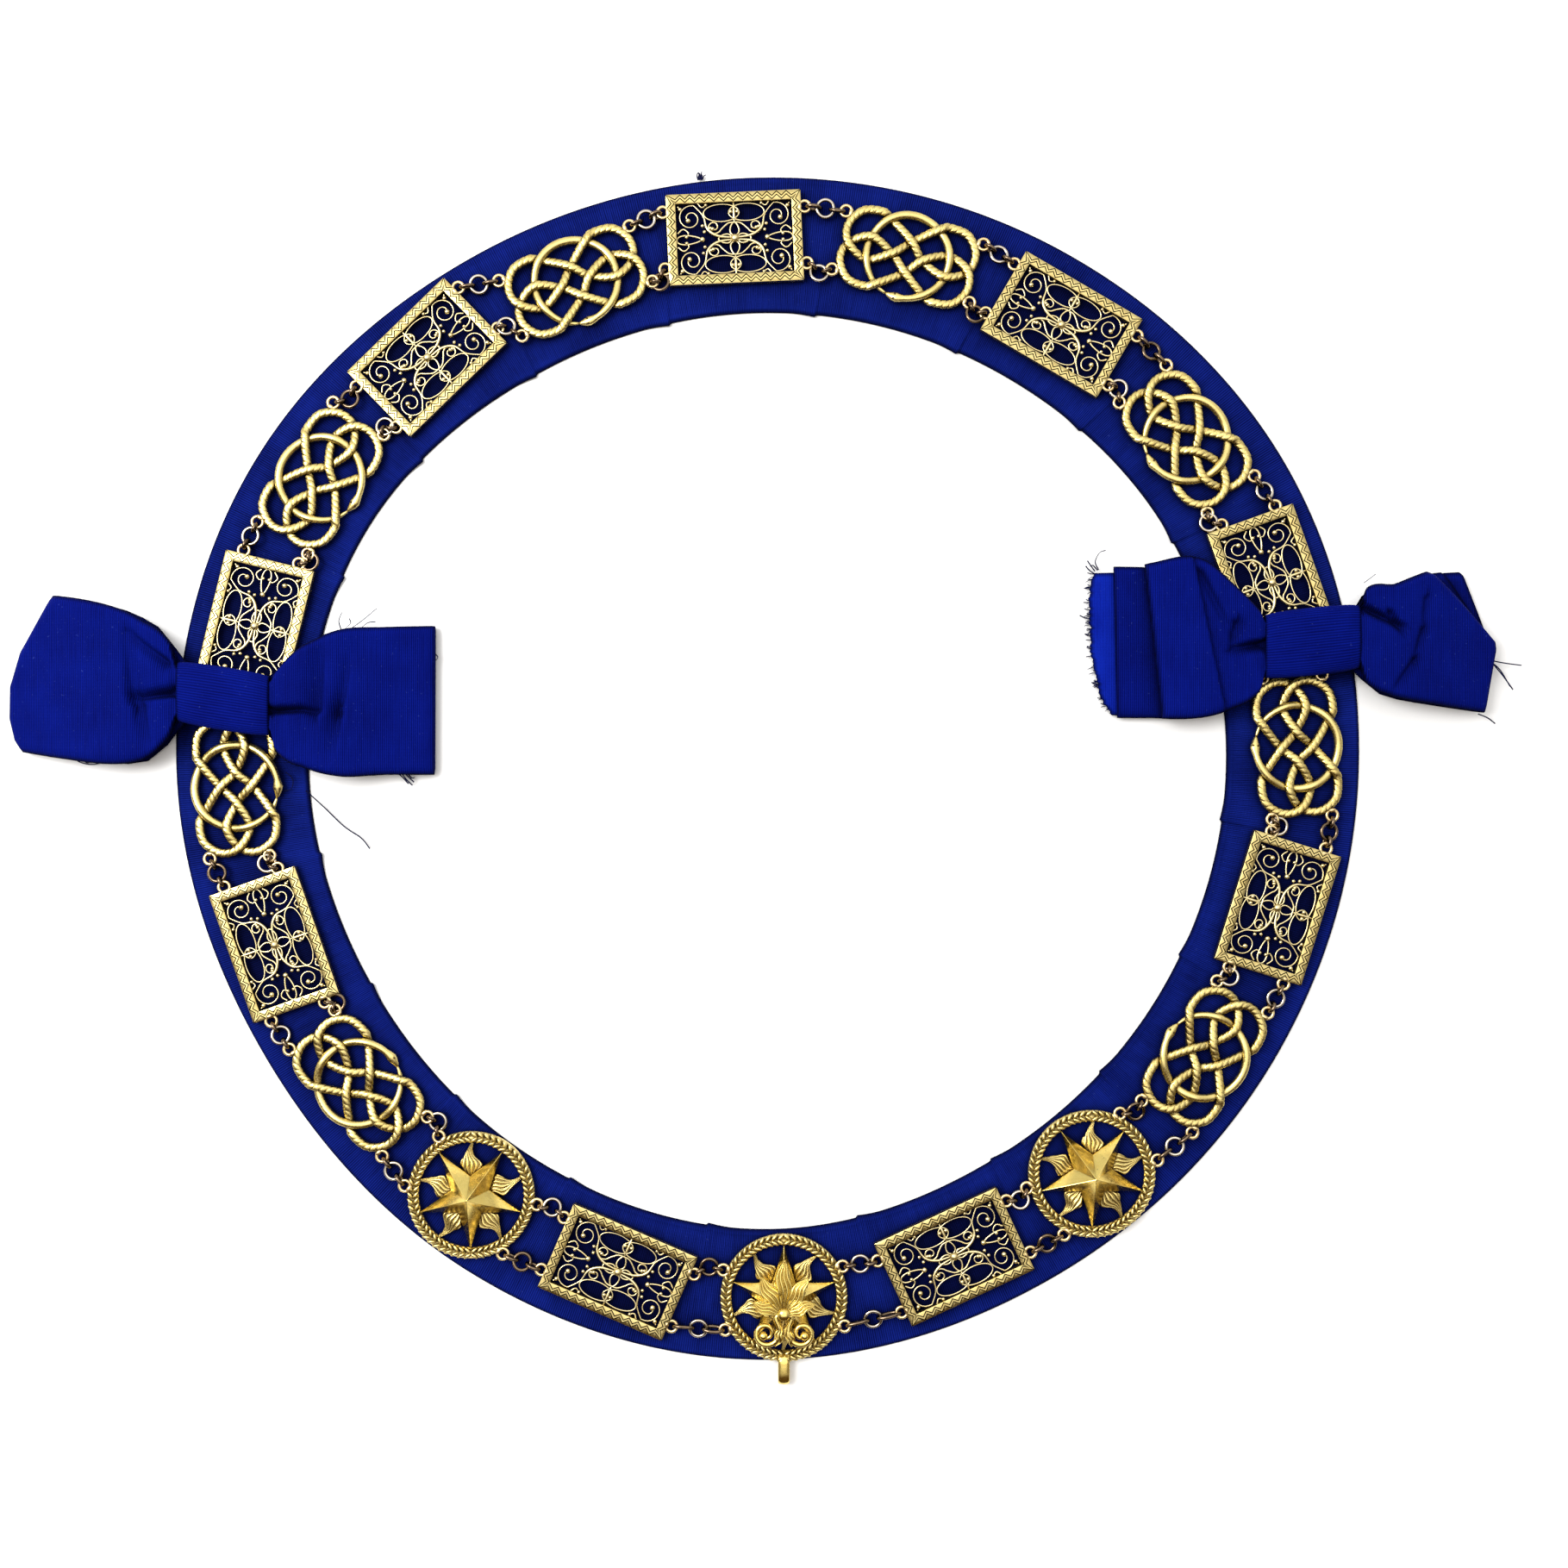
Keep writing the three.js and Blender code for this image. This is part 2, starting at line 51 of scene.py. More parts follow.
bpy.ops.object.camera_add(location=(*VIEW_MIDDLE, VIEW_HEIGHT), rotation=(0, 0, 0))
camera = bpy.context.object
camera.name = "camera_above"
camera.data.sensor_fit = "HORIZONTAL"
camera.data.angle = 2 * math.atan(VIEW_WIDTH / 2 / (VIEW_HEIGHT - SHARP_LEVEL))
camera.data.clip_start = 0.01
bpy.context.scene.camera = camera
bpy.context.scene.view_settings.view_transform = "Standard"


# Studio: a white table top under one soft light from the picture's left and a bigger one overhead.
# The room lights bright from the top of the picture and brown from opposite it, so polished slopes that
# face down the picture go dark. Looked at directly it is plain and pale all round.
TABLE_DROP = 0.0003
TABLE_RADIUS = 4.0
PAPER_WHITE = (0.93, 0.93, 0.925)
KEY_LIGHT = {"place": (-0.70, 0.24, 0.98), "size": 0.6, "watts": 12.5}
TOP_LIGHT = {"place": (0.0, 0.05, 1.35), "size": 1.6, "watts": 8.5}
ROOM = {"brown": (0.09, 0.050, 0.014, 1), "bright": (1.25, 1.25, 1.25, 1), "seen": (0.80, 0.80, 0.795, 1)}
ROOM_TURN = (-0.55, 0.75)
ROOM_RISE = (0.0, 0.9, 0.54, 1.2)


def connect(tree, node, inputs):
    """Links each of these inputs of a node to another node, or gives it a value."""
    for key, value in inputs.items():
        if isinstance(value, bpy.types.NodeSocket):
            tree.links.new(value, node.inputs[key])
        else:
            node.inputs[key].default_value = value


def shader_node(tree, kind, inputs=None, **settings):
    """One node of a material, group or world, with its settings and inputs."""
    node = tree.nodes.new("ShaderNode" + kind)
    for key, value in settings.items():
        setattr(node, key, value)
    connect(tree, node, inputs or {})
    return node


def spread(tree, value, low, high, to_low=0, to_high=1):
    """A value's place between two limits, as a place between two others."""
    limits = {"From Min": low, "From Max": high, "To Min": to_low, "To Max": to_high}
    return shader_node(tree, "MapRange", {"Value": value, **limits}).outputs[0]


def blend(tree, share, first, second):
    """Two colours mixed, with only the second where the share is 1."""
    return shader_node(tree, "Mix", {"Factor": share, 6: first, 7: second}, data_type="RGBA").outputs[2]


def new_material(name):
    """A material, its nodes and the shader among them."""
    material = bpy.data.materials.new(name)
    material.use_nodes = True
    return material, material.node_tree, material.node_tree.nodes["Principled BSDF"]


def matt(name, colour, roughness):
    """A plain material of one colour with hardly any shine."""
    material, tree, shader = new_material(name)
    connect(tree, shader, {"Base Color": (*colour, 1), "Roughness": roughness, "Specular IOR Level": 0.1})
    return material


def soft_light(name, place, size, watts):
    bpy.ops.object.light_add(type="AREA", location=place)
    light = bpy.context.object
    light.name = name
    light.data.size = size
    light.data.energy = watts
    light.rotation_euler = (-Vector(place)).to_track_quat("-Z", "Y").to_euler()


soft_light("key_light", **KEY_LIGHT)
soft_light("top_light", **TOP_LIGHT)

bpy.ops.mesh.primitive_circle_add(
    vertices=96, radius=TABLE_RADIUS, fill_type="NGON", location=(0, 0, -TABLE_DROP))
table_top = bpy.context.object
table_top.name = "table_top"
bpy.ops.object.transform_apply()
table_top.data.materials.append(matt("white_paper", PAPER_WHITE, 0.9))

room = bpy.data.worlds.new("room")
bpy.context.scene.world = room
room.use_nodes = True
sky = room.node_tree
sight = shader_node(sky, "TexCoord")
axes = shader_node(sky, "SeparateXYZ", {"Vector": sight.outputs["Generated"]})
walls = blend(sky, spread(sky, axes.outputs["Y"], *ROOM_TURN), ROOM["brown"], ROOM["bright"])
rise = spread(sky, axes.outputs["Z"], *ROOM_RISE)
lit = sky.nodes["Background"]
connect(sky, lit, {"Color": walls, "Strength": rise})
ray = shader_node(sky, "LightPath")
plain = shader_node(sky, "Background", {"Color": ROOM["seen"]})
seen = shader_node(sky, "MixShader", {
    0: ray.outputs["Is Camera Ray"], 1: lit.outputs[0], 2: plain.outputs[0]})
connect(sky, sky.nodes["World Output"], {"Surface": seen.outputs[0]})


# Collar ribbon: a blue grosgrain ribbon about 51 mm wide, shaped into a ring on which the links lie.
# Its inner edge is too long for the turn, so it is taken up in small lapped tucks between the links,
# and both edges are turned under and stitched, which leaves a rounded rim and a shallow line beside it.
RING_MIDDLE = Vector((0.0054, 0.0046, 0.0))
RIBBON_EDGES = {
    # radius every 30 degrees, clockwise from the top
    "inner": (0.1742, 0.1752, 0.1778, 0.1758, 0.1736, 0.1734,
              0.1770, 0.1746, 0.1730, 0.1758, 0.1784, 0.1746),
    "outer": (0.2262, 0.2280, 0.2302, 0.2268, 0.2244, 0.2242,
              0.2272, 0.2248, 0.2222, 0.2266, 0.2290, 0.2260),
}
LINKS = (
    # node, degrees clockwise from the top, radius, degrees turned clockwise off the ring's line
    ("plate_01", 356.5, 0.2022, 1.0),
    ("knot_02", 15.4, 0.2018, -1.7),
    ("plate_03", 33.6, 0.2026, -3.2),
    ("knot_04", 52.0, 0.2030, -0.5),
    ("plate_05", 69.9, 0.2050, 0.5),
    ("knot_06", 87.8, 0.2022, -1.9),
    ("plate_07", 105.4, 0.2018, 2.0),
    ("knot_08", 123.5, 0.2000, -1.3),
    ("star_09", 141.4, 0.1985, 0.0),
    ("plate_10", 159.1, 0.1997, -4.1),
    ("star_11", 178.2, 0.2025, 0.0),
    ("plate_12", 196.5, 0.2007, 7.0),
    ("star_13", 214.7, 0.1985, 0.0),
    ("knot_14", 232.3, 0.1970, -3.2),
    ("plate_15", 250.2, 0.1997, 0.4),
    ("knot_16", 267.9, 0.2027, -1.0),
    ("plate_17", 285.4, 0.2028, -1.6),
    ("knot_18", 302.9, 0.2028, -0.5),
    ("plate_19", 320.3, 0.2030, -4.5),
    ("knot_20", 338.5, 0.1992, -1.2),
)
RIB_PITCH = 0.00075
RIBBON_TOP = 0.0010
RIBBON_FLAT = {"width": 0.0512, "length": 1.263}
RIBBON_RIM = (
    # distance in from the edge, height
    (0.0000, 0.00022),
    (0.0003, 0.00066),
    (0.0008, 0.00104),
    (0.0015, 0.00122),
    (0.0023, 0.00112),
    (0.0031, 0.00086),
    (0.0040, 0.00100),
)
RIBBON_COLUMNS = 13
RIBBON_ROWS = 900
RIBBON_WAVE = {"height": 0.00022, "scale": 55, "clear": 0.002}
RIBBON_BACK = {"inset": 0.0006, "level": 0.00012}
# Painted shade inside each pierced plate: full over its opening, fading out past its bars.
PLATE_SHADE = {"long": 0.0222, "wide": 0.0137, "fade": 0.0036}
TUCK = {"height": 0.00085, "rise": 0.010, "drop": 0.0008, "reach": 0.030, "lean": 0.10, "kink": 0.0010}
TUCK_RADIUS = 0.175
TUCK_STATIONS = (0.0, 0.0003, 0.0006, 0.0012, 0.0018, 0.0026, 0.0034)
# Dark blue painted in as shade at the hems, under the links and inside the pierced plates.
PAINTED_SHADE_BLUE = (0.0002, 0.0004, 0.006, 1)
LINT_SHARE = 0.25


def clockwise(degrees, radius):
    """A place on the table at that bearing from the ring's middle, 0 at the top and 90 at the right."""
    angle = math.radians(degrees)
    return RING_MIDDLE + Vector((math.sin(angle), math.cos(angle), 0.0)) * radius


def link_place(node):
    """Where a link's own frame lies: X clockwise along the ring, Y outward."""
    _, bearing, radius, turn = next(row for row in LINKS if row[0] == node)
    heading = Matrix.Rotation(-math.radians(bearing + turn), 4, "Z")
    return Matrix.Translation(clockwise(bearing, radius)) @ heading


def curve_at(a, b, c, d, t):
    """The place a share t of the way from b to c, on a smooth curve that comes from a and goes on to d."""
    return b + 0.5 * t * (c - a + t * (2 * a - 5 * b + 4 * c - d + t * (3 * (b - c) + d - a)))


def ribbon_edge(degrees, edge):
    """Radius of the inner or outer edge, on a smooth closed curve through the table."""
    radii = RIBBON_EDGES[edge]
    row, t = divmod(degrees / 360 * len(radii), 1)
    a, b, c, d = (radii[(int(row) + k) % len(radii)] for k in (-1, 0, 1, 2))
    return curve_at(a, b, c, d, t)


def tuck_fold(arc, inset):
    """How far up one tuck lifts the cloth: a slow rise to the fold, then a steep drop beside it."""
    fade = max(0.0, 1 - inset / TUCK["reach"]) ** 1.3
    arc -= inset * TUCK["lean"]
    if -TUCK["rise"] < arc <= 0:
        return fade * (1 + arc / TUCK["rise"]) ** 1.8
    if 0 < arc < TUCK["drop"]:
        return fade * (1 - arc / TUCK["drop"])
    return 0.0


def painted_plate_shade(spot):
    """Painted shade on the cloth at a place: full in the opening of a pierced plate, fading under its bars.
    """
    most = 0.0
    for out_of_ring in plate_frames:
        local = out_of_ring @ spot
        beyond = max(abs(local.x) - PLATE_SHADE["long"], abs(local.y) - PLATE_SHADE["wide"], 0.0)
        most = max(most, 1 - beyond / PLATE_SHADE["fade"])
    return most


def pick(piece):
    """Selects one piece alone, for the tool that is used next."""
    bpy.ops.object.select_all(action="DESELECT")
    piece.select_set(True)
    bpy.context.view_layer.objects.active = piece


def face_outwards():
    """Turns the normals of the picked piece outwards."""
    bpy.ops.object.mode_set(mode="EDIT")
    bpy.ops.mesh.select_all(action="SELECT")
    bpy.ops.mesh.normals_make_consistent(inside=False)
    bpy.ops.object.mode_set(mode="OBJECT")


def skin(name, rows, material, loop=False, tube=True, smooth=True, weave=None, hem=None,
         plate_shade=lambda i, j: 0.0):
    """A piece of quads over rows of points. loop joins the last row to the first, tube the ends of each row,
    and an open tube is capped. For row i, column j weave gives the cloth's UV, hem the distance from its edge
    and the last function how deep the painted shade inside a pierced plate is there."""
    deep, wide = len(rows), len(rows[0])
    faces = []
    corners = []
    for i in range(deep if loop else deep - 1):
        for j in range(wide if tube else wide - 1):
            quad = ((i, j), (i, j + 1), (i + 1, j + 1), (i + 1, j))
            faces.append([(a % deep) * wide + b % wide for a, b in quad])
            corners.extend(quad)
    if tube and not loop:
        for i, order in ((0, range(wide - 1, -1, -1)), (deep - 1, range(wide))):
            faces.append([i * wide + j for j in order])
            corners.extend((i, j) for j in order)
    mesh = bpy.data.meshes.new(name)
    mesh.from_pydata([point for row in rows for point in row], [], faces)
    if weave:
        threads = [weave(*corner) for corner in corners]
        hems = [(hem(*corner) / 0.001, plate_shade(*corner)) for corner in corners]
        for label, pairs in (("Weave", threads), ("Hem", hems)):
            layer = mesh.uv_layers.new(name=label)
            layer.data.foreach_set("uv", [value for pair in pairs for value in pair])
    mesh.materials.append(material)
    piece = bpy.data.objects.new(name, mesh)
    bpy.context.scene.collection.objects.link(piece)
    pick(piece)
    face_outwards()
    if smooth:
        bpy.ops.object.shade_smooth()
    return piece


def new_group(name, inputs, outputs):
    """A shader node group with those float inputs and outputs, and the two nodes at its ends."""
    group = bpy.data.node_groups.new(name, "ShaderNodeTree")
    for label, value in inputs.items():
        socket = group.interface.new_socket(label, in_out="INPUT", socket_type="NodeSocketFloat")
        socket.default_value = value
    for label in outputs:
        group.interface.new_socket(label, in_out="OUTPUT", socket_type="NodeSocketFloat")
    return group, group.nodes.new("NodeGroupInput"), group.nodes.new("NodeGroupOutput")


def reckon(tree, operation, *values, clamp=False):
    """The result of one sum on values that are given or come from other nodes."""
    return shader_node(tree, "Math", dict(enumerate(values)), operation=operation, use_clamp=clamp).outputs[0]


def cloudy(tree, spot, scale, detail):
    """A noise without edges at a place."""
    return shader_node(tree, "TexNoise", {"Vector": spot, "Scale": scale, "Detail": detail}).outputs[0]


# The weave counts ribs along U and threads along V. It darkens the furrows, breaks each rib into warp
# threads, and adds faint streaks along the ribs and a little lint. Open is painted shade: it is low at the
# hems, under the pierced plates and where ambient occlusion finds the cloth covered.
weave, weave_in, weave_out = new_group(
    "grosgrain_weave",
    {"Ribs": 0.34, "Streaks": 0.6, "Clouds": 0.9, "Threads": 4.0, "Shelter": 0.08, "Cover": 0.30,
     "PlateShade": 0.75},
    ("Shade", "Height", "Lint", "Open"))
given = weave_in.outputs
thread_map = shader_node(weave, "UVMap", uv_map="Weave").outputs["UV"]
thread_axes = shader_node(weave, "SeparateXYZ", {"Vector": thread_map}).outputs
rib_wave = reckon(weave, "COSINE", reckon(weave, "MULTIPLY", thread_axes["X"], 2 * math.pi))
warp_wave = reckon(weave, "COSINE", reckon(weave, "MULTIPLY", thread_axes["Y"], given["Threads"]))
streak_map = shader_node(weave, "Mapping", {"Vector": thread_map, "Scale": (1.30, 0.060, 1)})
streaks = reckon(weave, "MULTIPLY", cloudy(weave, streak_map.outputs["Vector"], 1.0, 3), given["Streaks"])
cloth_spot = shader_node(weave, "TexCoord").outputs["Object"]
clouds = reckon(weave, "MULTIPLY", cloudy(weave, cloth_spot, 55, 4), given["Clouds"])
ribs = reckon(weave, "MULTIPLY", rib_wave, given["Ribs"])
uneven = reckon(weave, "ADD", reckon(weave, "ADD", streaks, clouds), ribs)
balance = reckon(weave, "MULTIPLY_ADD", reckon(weave, "ADD", given["Streaks"], given["Clouds"]), -0.5, 0.5)
# Painted shade: darker towards each hem, under things close above the cloth, and inside the pierced plates.
hem_map = shader_node(weave, "UVMap", uv_map="Hem").outputs["UV"]
hem_axes = shader_node(weave, "SeparateXYZ", {"Vector": hem_map}).outputs
hemmed = spread(weave, hem_axes["X"], 0.1, 1.7, 0.10, 1)
cover = shader_node(weave, "AmbientOcclusion", {"Distance": 0.010}, samples=2)
covered = spread(weave, cover.outputs["AO"], given["Cover"], 0.96, given["Shelter"], 1)
# The Hem map's second channel is the painted shade inside the pierced plates.
outside_plate_shade = reckon(weave, "SUBTRACT", 1.0, reckon(weave, "MULTIPLY", hem_axes["Y"], given["PlateShade"]))
connect(weave, weave_out, {
    "Shade": reckon(weave, "ADD", uneven, balance, clamp=True),
    "Height": reckon(weave, "ADD", rib_wave, reckon(weave, "MULTIPLY", warp_wave, 0.25)),
    "Lint": spread(weave, cloudy(weave, cloth_spot, 900, 2), 0.70, 0.78),
    "Open": reckon(weave, "MULTIPLY", reckon(weave, "MULTIPLY", hemmed, covered), outside_plate_shade),
})


def grosgrain(name, furrow, rib, lint_colour, clouds, shelter, cover):
    """Ribbon cloth: dark in the furrows, lighter on the ribs, hardly any shine, and painted shade where Open
    is low.
    """
    material, tree, shader = new_material(name)
    amounts = {"Clouds": clouds, "Shelter": shelter, "Cover": cover}
    pattern = shader_node(tree, "Group", amounts, node_tree=weave).outputs
    ribbed = blend(tree, pattern["Shade"], (*furrow, 1), (*rib, 1))
    dusted = blend(tree, reckon(tree, "MULTIPLY", pattern["Lint"], LINT_SHARE), ribbed, (*lint_colour, 1))
    shaded = blend(tree, pattern["Open"], PAINTED_SHADE_BLUE, dusted)
    relief = shader_node(tree, "Bump", {"Height": pattern["Height"], "Strength": 0.6, "Distance": 0.00010})
    connect(tree, shader, {
        "Base Color": shaded, "Normal": relief.outputs["Normal"], "Roughness": 0.75,
        "Specular IOR Level": 0.025, "Sheen Weight": 0.010, "Sheen Tint": (0.2, 0.3, 1.0, 1)})
    return material


collar_cloth = grosgrain("collar_grosgrain_cloth", (0.0003, 0.0014, 0.030), (0.0050, 0.0160, 0.225),
                         (0.05, 0.08, 0.30), 0.9, 0.08, 0.30)

plate_frames = [link_place(node).inverted() for node, *_ in LINKS if node.startswith("plate")]
gaps = []
for here, after in zip(LINKS, LINKS[1:] + LINKS[:1]):
    gaps.append((here[1] + ((after[1] - here[1]) % 360) / 2) % 360)
stations = [n * 360 / RIBBON_ROWS for n in range(RIBBON_ROWS)]
for gap in gaps:
    stations += [gap + math.degrees(shift / TUCK_RADIUS) for shift in TUCK_STATIONS]
stations = sorted({round(bearing % 360, 3) for bearing in stations})
ribbon_rows = []
for bearing in stations:
    inner, outer = ribbon_edge(bearing, "inner"), ribbon_edge(bearing, "outer")
    width = outer - inner
    nearest = min(gaps, key=lambda gap: abs((bearing - gap + 180) % 360 - 180))
    arc = math.radians((bearing - nearest + 180) % 360 - 180) * inner
    kink = TUCK["kink"] * tuck_fold(arc, 0.0)
    rim = RIBBON_RIM[-1][0]
    middles = [rim + (width - 2 * rim) * (k + 1) / (RIBBON_COLUMNS + 1) for k in range(RIBBON_COLUMNS)]
    profile = [*RIBBON_RIM]
    profile += [(inset, RIBBON_TOP) for inset in middles]
    profile += [(width - inset, height) for inset, height in reversed(RIBBON_RIM)]
    row = []
    for inset, height in profile:
        spot = clockwise(bearing, inner + inset - kink * max(0.0, 1 - inset / TUCK["reach"]))
        lift = TUCK["height"] * tuck_fold(arc, inset)
        if RIBBON_WAVE["clear"] < inset < width - RIBBON_WAVE["clear"]:
            lift += RIBBON_WAVE["height"] * noise.noise(spot * RIBBON_WAVE["scale"])
        row.append(spot + Vector((0, 0, height + lift)))
    for radius in (outer - RIBBON_BACK["inset"], inner + RIBBON_BACK["inset"] - kink):
        row.append(clockwise(bearing, radius) + Vector((0, 0, RIBBON_BACK["level"])))
    ribbon_rows.append(row)
ribbon_widths = [inset / RIB_PITCH for inset, _ in profile] + [profile[-1][0] / RIB_PITCH, 0, 0]
# Distance of each column from the nearer edge, for the painted shade along the hems.
ribbon_hems = [min(inset, width - inset) for inset, _ in profile] + [0, 0, 0]

ribbon_ribs = [bearing / 360 * RIBBON_FLAT["length"] / RIB_PITCH for bearing in stations]
ribbon_ribs.append(ribbon_ribs[0] + round(RIBBON_FLAT["length"] / RIB_PITCH))

# The Hem map's second channel holds the painted shade inside the pierced plates.
collar_ribbon = skin("collar_grosgrain", ribbon_rows, collar_cloth, loop=True,
                     weave=lambda i, j: (ribbon_ribs[i], ribbon_widths[j]), hem=lambda i, j: ribbon_hems[j],
                     plate_shade=lambda i, j: painted_plate_shade(ribbon_rows[i % len(ribbon_rows)][j % len(ribbon_rows[0])]))
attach(collar_ribbon, "root")
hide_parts("ribbon_collar")


# Rope knots: eight cast links, each of two closed loops of gilt rope and a plain ring, woven over and under.
# The ring is a thin snake with its tail in its mouth. Four wire eyes are soldered to the link's corners.
LINK_LEVEL = 0.0033
ROPE = {"radius": 0.00166, "flat": 0.78, "square": 0.7, "strands": 3, "groove": 0.0024, "step": 0.0005}
STRAND_SECTION = (0.875, 0.99, 1.005, 1.01, 1.005, 0.99)
WEAVE_LIFT = 0.00078
HALF_LOOP = (
    # along the link, across it, over (1) or under (-1)
    (0.0234, 0.0000, 1),
    (0.0250, -0.0068, 0),
    (0.0207, -0.0132, 0),
    (0.0133, -0.0146, 0),
    (0.0094, -0.0128, -1),
    (0.0000, -0.0060, 1),
    (-0.0060, 0.0000, -1),
    (-0.0153, 0.0042, 1),
)
ROPE_LOOP = HALF_LOOP + tuple((-along, across, -over) for along, across, over in HALF_LOOP)
SNAKE_RADIUS = 0.0159
SNAKE_SIDES = 14
SNAKE_STEP = 3.5
SNAKE_WEAVE = (
    # degrees round the ring, over (1) or under (-1)
    (15.3, 1), (53.7, -1), (126.3, 1), (164.7, -1), (195.3, 1), (233.7, -1), (306.3, 1), (344.7, -1),
)
SNAKE_BODY = (
    # degrees round the ring from the mouth back to the tail's tip, half width, half height
    (251.5, 0.00030, 0.00030),
    (253.0, 0.00075, 0.00060),
    (257.0, 0.00115, 0.00090),
    (262.0, 0.00165, 0.00125),
    (267.0, 0.00195, 0.00140),
    (272.0, 0.00165, 0.00135),
    (278.0, 0.00130, 0.00130),
    (300.0, 0.00148, 0.00140),
    (345.0, 0.00160, 0.00145),
    (450.0, 0.00160, 0.00145),
    (545.0, 0.00150, 0.00140),
    (580.0, 0.00125, 0.00120),
    (600.0, 0.00090, 0.00090),
    (612.0, 0.00045, 0.00045),
)
SNAKE_EYE = {"bearing": 264.0, "aside": 0.00105, "rise": 0.0012, "size": 0.00036}
EYE = {"radius": 0.0021, "wire": 0.00066, "stand": 0.00135, "level": 0.0036}
SOLDER = {"size": 0.0012, "form": (0.8, 1.5, 0.75), "inset": 0.0006}
EDGE_PLACES = {"plate": (0.0257, 0.0108), "knot": (0.0256, 0.0114), "star": (0.0214, 0.0114)}
BRIGHT_GILT = (0.86, 0.70, 0.27)
OLD_GILT = (0.070, 0.036, 0.009)
PATCH_SHARE = 0.55

# Wear of the gilding: old brown in the crevices, slow patches of deeper colour, a fine cast grain and pits.
wear, wear_in, wear_out = new_group(
    "gilding_wear", {"Reach": 0.0011, "Crevice": 1.0, "Grain": 1500.0, "Polish": 1.0},
    ("Patina", "Patches", "Gloss", "Height"))
given = wear_in.outputs
wear_spot = shader_node(wear, "TexCoord").outputs["Object"]
hollow = shader_node(wear, "AmbientOcclusion", {"Distance": given["Reach"]}, samples=3, only_local=True)
crevices = spread(wear, hollow.outputs["AO"], 0.52, 0.96, 1, 0)
crevices = reckon(wear, "MULTIPLY", crevices, given["Crevice"], clamp=True)
grain = cloudy(wear, wear_spot, given["Grain"], 3)
pit_noise = shader_node(wear, "TexVoronoi", {"Vector": wear_spot, "Scale": 420})
pits = spread(wear, pit_noise.outputs["Distance"], 0.05, 0.11, 1, 0)
connect(wear, wear_out, {
    "Patina": reckon(wear, "MAXIMUM", crevices, reckon(wear, "MULTIPLY", pits, 0.6)),
    "Patches": spread(wear, cloudy(wear, wear_spot, 240, 4), 0.42, 0.72),
    "Gloss": reckon(wear, "MULTIPLY", spread(wear, grain, 0.3, 0.7, 0.20, 0.42), given["Polish"]),
    "Height": reckon(wear, "SUBTRACT", grain, pits),
})


def gilt(name, bright, deep, old, crevice, bump, polish=1.0):
    """Gilded metal: bright on the crowns, deeper in patches, brown in the hollows, with a fine cast grain."""
    material, tree, shader = new_material(name)
    worn = shader_node(tree, "Group", {"Crevice": crevice, "Polish": polish}, node_tree=wear).outputs
    warm = blend(tree, reckon(tree, "MULTIPLY", worn["Patches"], PATCH_SHARE), (*bright, 1), (*deep, 1))
    aged = blend(tree, worn["Patina"], warm, (*old, 1))
    relief = shader_node(tree, "Bump", {"Height": worn["Height"], "Strength": bump, "Distance": 0.00006})
    connect(tree, shader, {
        "Base Color": aged, "Metallic": 1.0, "Roughness": worn["Gloss"], "Normal": relief.outputs["Normal"]})
    return material


rope_gilt = gilt("rope_gilt", BRIGHT_GILT, (0.72, 0.50, 0.13), OLD_GILT, 1.7, 0.25)
snake_gilt = gilt("snake_gilt", BRIGHT_GILT, (0.72, 0.53, 0.17), OLD_GILT, 0.8, 0.2)
dark_gilt = gilt("dark_gilt", (0.10, 0.06, 0.02), (0.05, 0.03, 0.01), (0.02, 0.012, 0.006), 0.5, 0.3)
solder_gilt = gilt("solder_gilt", (0.90, 0.72, 0.38), (0.76, 0.47, 0.20), OLD_GILT, 0.8, 0.25)


def smooth_path(points, step, closed):
    """Points about a step apart on a smooth curve through the given ones."""
    last = len(points) - 1
    path = []
    for k in range(last + 1 if closed else last):
        picks = [(k + n) % (last + 1) if closed else min(max(k + n, 0), last) for n in (-1, 0, 1, 2)]
        a, b, c, d = (Vector(points[n]) for n in picks)
        pieces = max(2, math.ceil((c - b).length / step))
        path += [curve_at(a, b, c, d, n / pieces) for n in range(pieces)]
    if not closed:
        path.append(Vector(points[-1]))
    return path


def around(path, closed, section):
    """Rows of points round a path. section(i) lists how far each reaches aside and up at point i."""
    rows = []
    for i, point in enumerate(path):
        ahead = path[(i + 1) % len(path)] if closed else path[min(i + 1, len(path) - 1)]
        behind = path[i - 1] if closed else path[max(i - 1, 0)]
        line = (ahead - behind).normalized()
        aside = line.cross(Vector((0, 0, 1))).normalized()
        up = aside.cross(line)
        rows.append([point + aside * reach + up * rise for reach, rise in section(i)])
    return rows


def rope(name, loop_points, material):
    """A closed loop of laid rope, flat-topped, whose rows of points follow the strands round it."""
    path = smooth_path(loop_points, ROPE["step"], True)
    lengths = [0.0]
    for i, point in enumerate(path):
        lengths.append(lengths[-1] + (path[(i + 1) % len(path)] - point).length)
    winds = ROPE["strands"] * round(lengths[-1] / ROPE["groove"] / ROPE["strands"])
    count = ROPE["strands"] * len(STRAND_SECTION)

    def section(i):
        wind = lengths[i] / lengths[-1] * winds / ROPE["strands"] * 2 * math.pi
        sides = []
        for k in range(count):
            turn = k / count * 2 * math.pi + wind
            radius = ROPE["radius"] * STRAND_SECTION[k % len(STRAND_SECTION)]
            turns = (math.cos(turn), math.sin(turn))
            aside, rise = (math.copysign(abs(a) ** ROPE["square"], a) for a in turns)
            sides.append((radius * aside, radius * ROPE["flat"] * rise))
        return sides

    return skin(name, around(path, True, section), material, loop=True)


def join_parts(parts, name):
    """The parts as one piece at the origin."""
    bpy.ops.object.select_all(action="DESELECT")
    for part in parts:
        part.select_set(True)
    bpy.context.view_layer.objects.active = parts[0]
    bpy.ops.object.join()
    piece = bpy.context.object
    piece.name = name
    piece.data.name = name
    bpy.ops.object.transform_apply()
    return piece


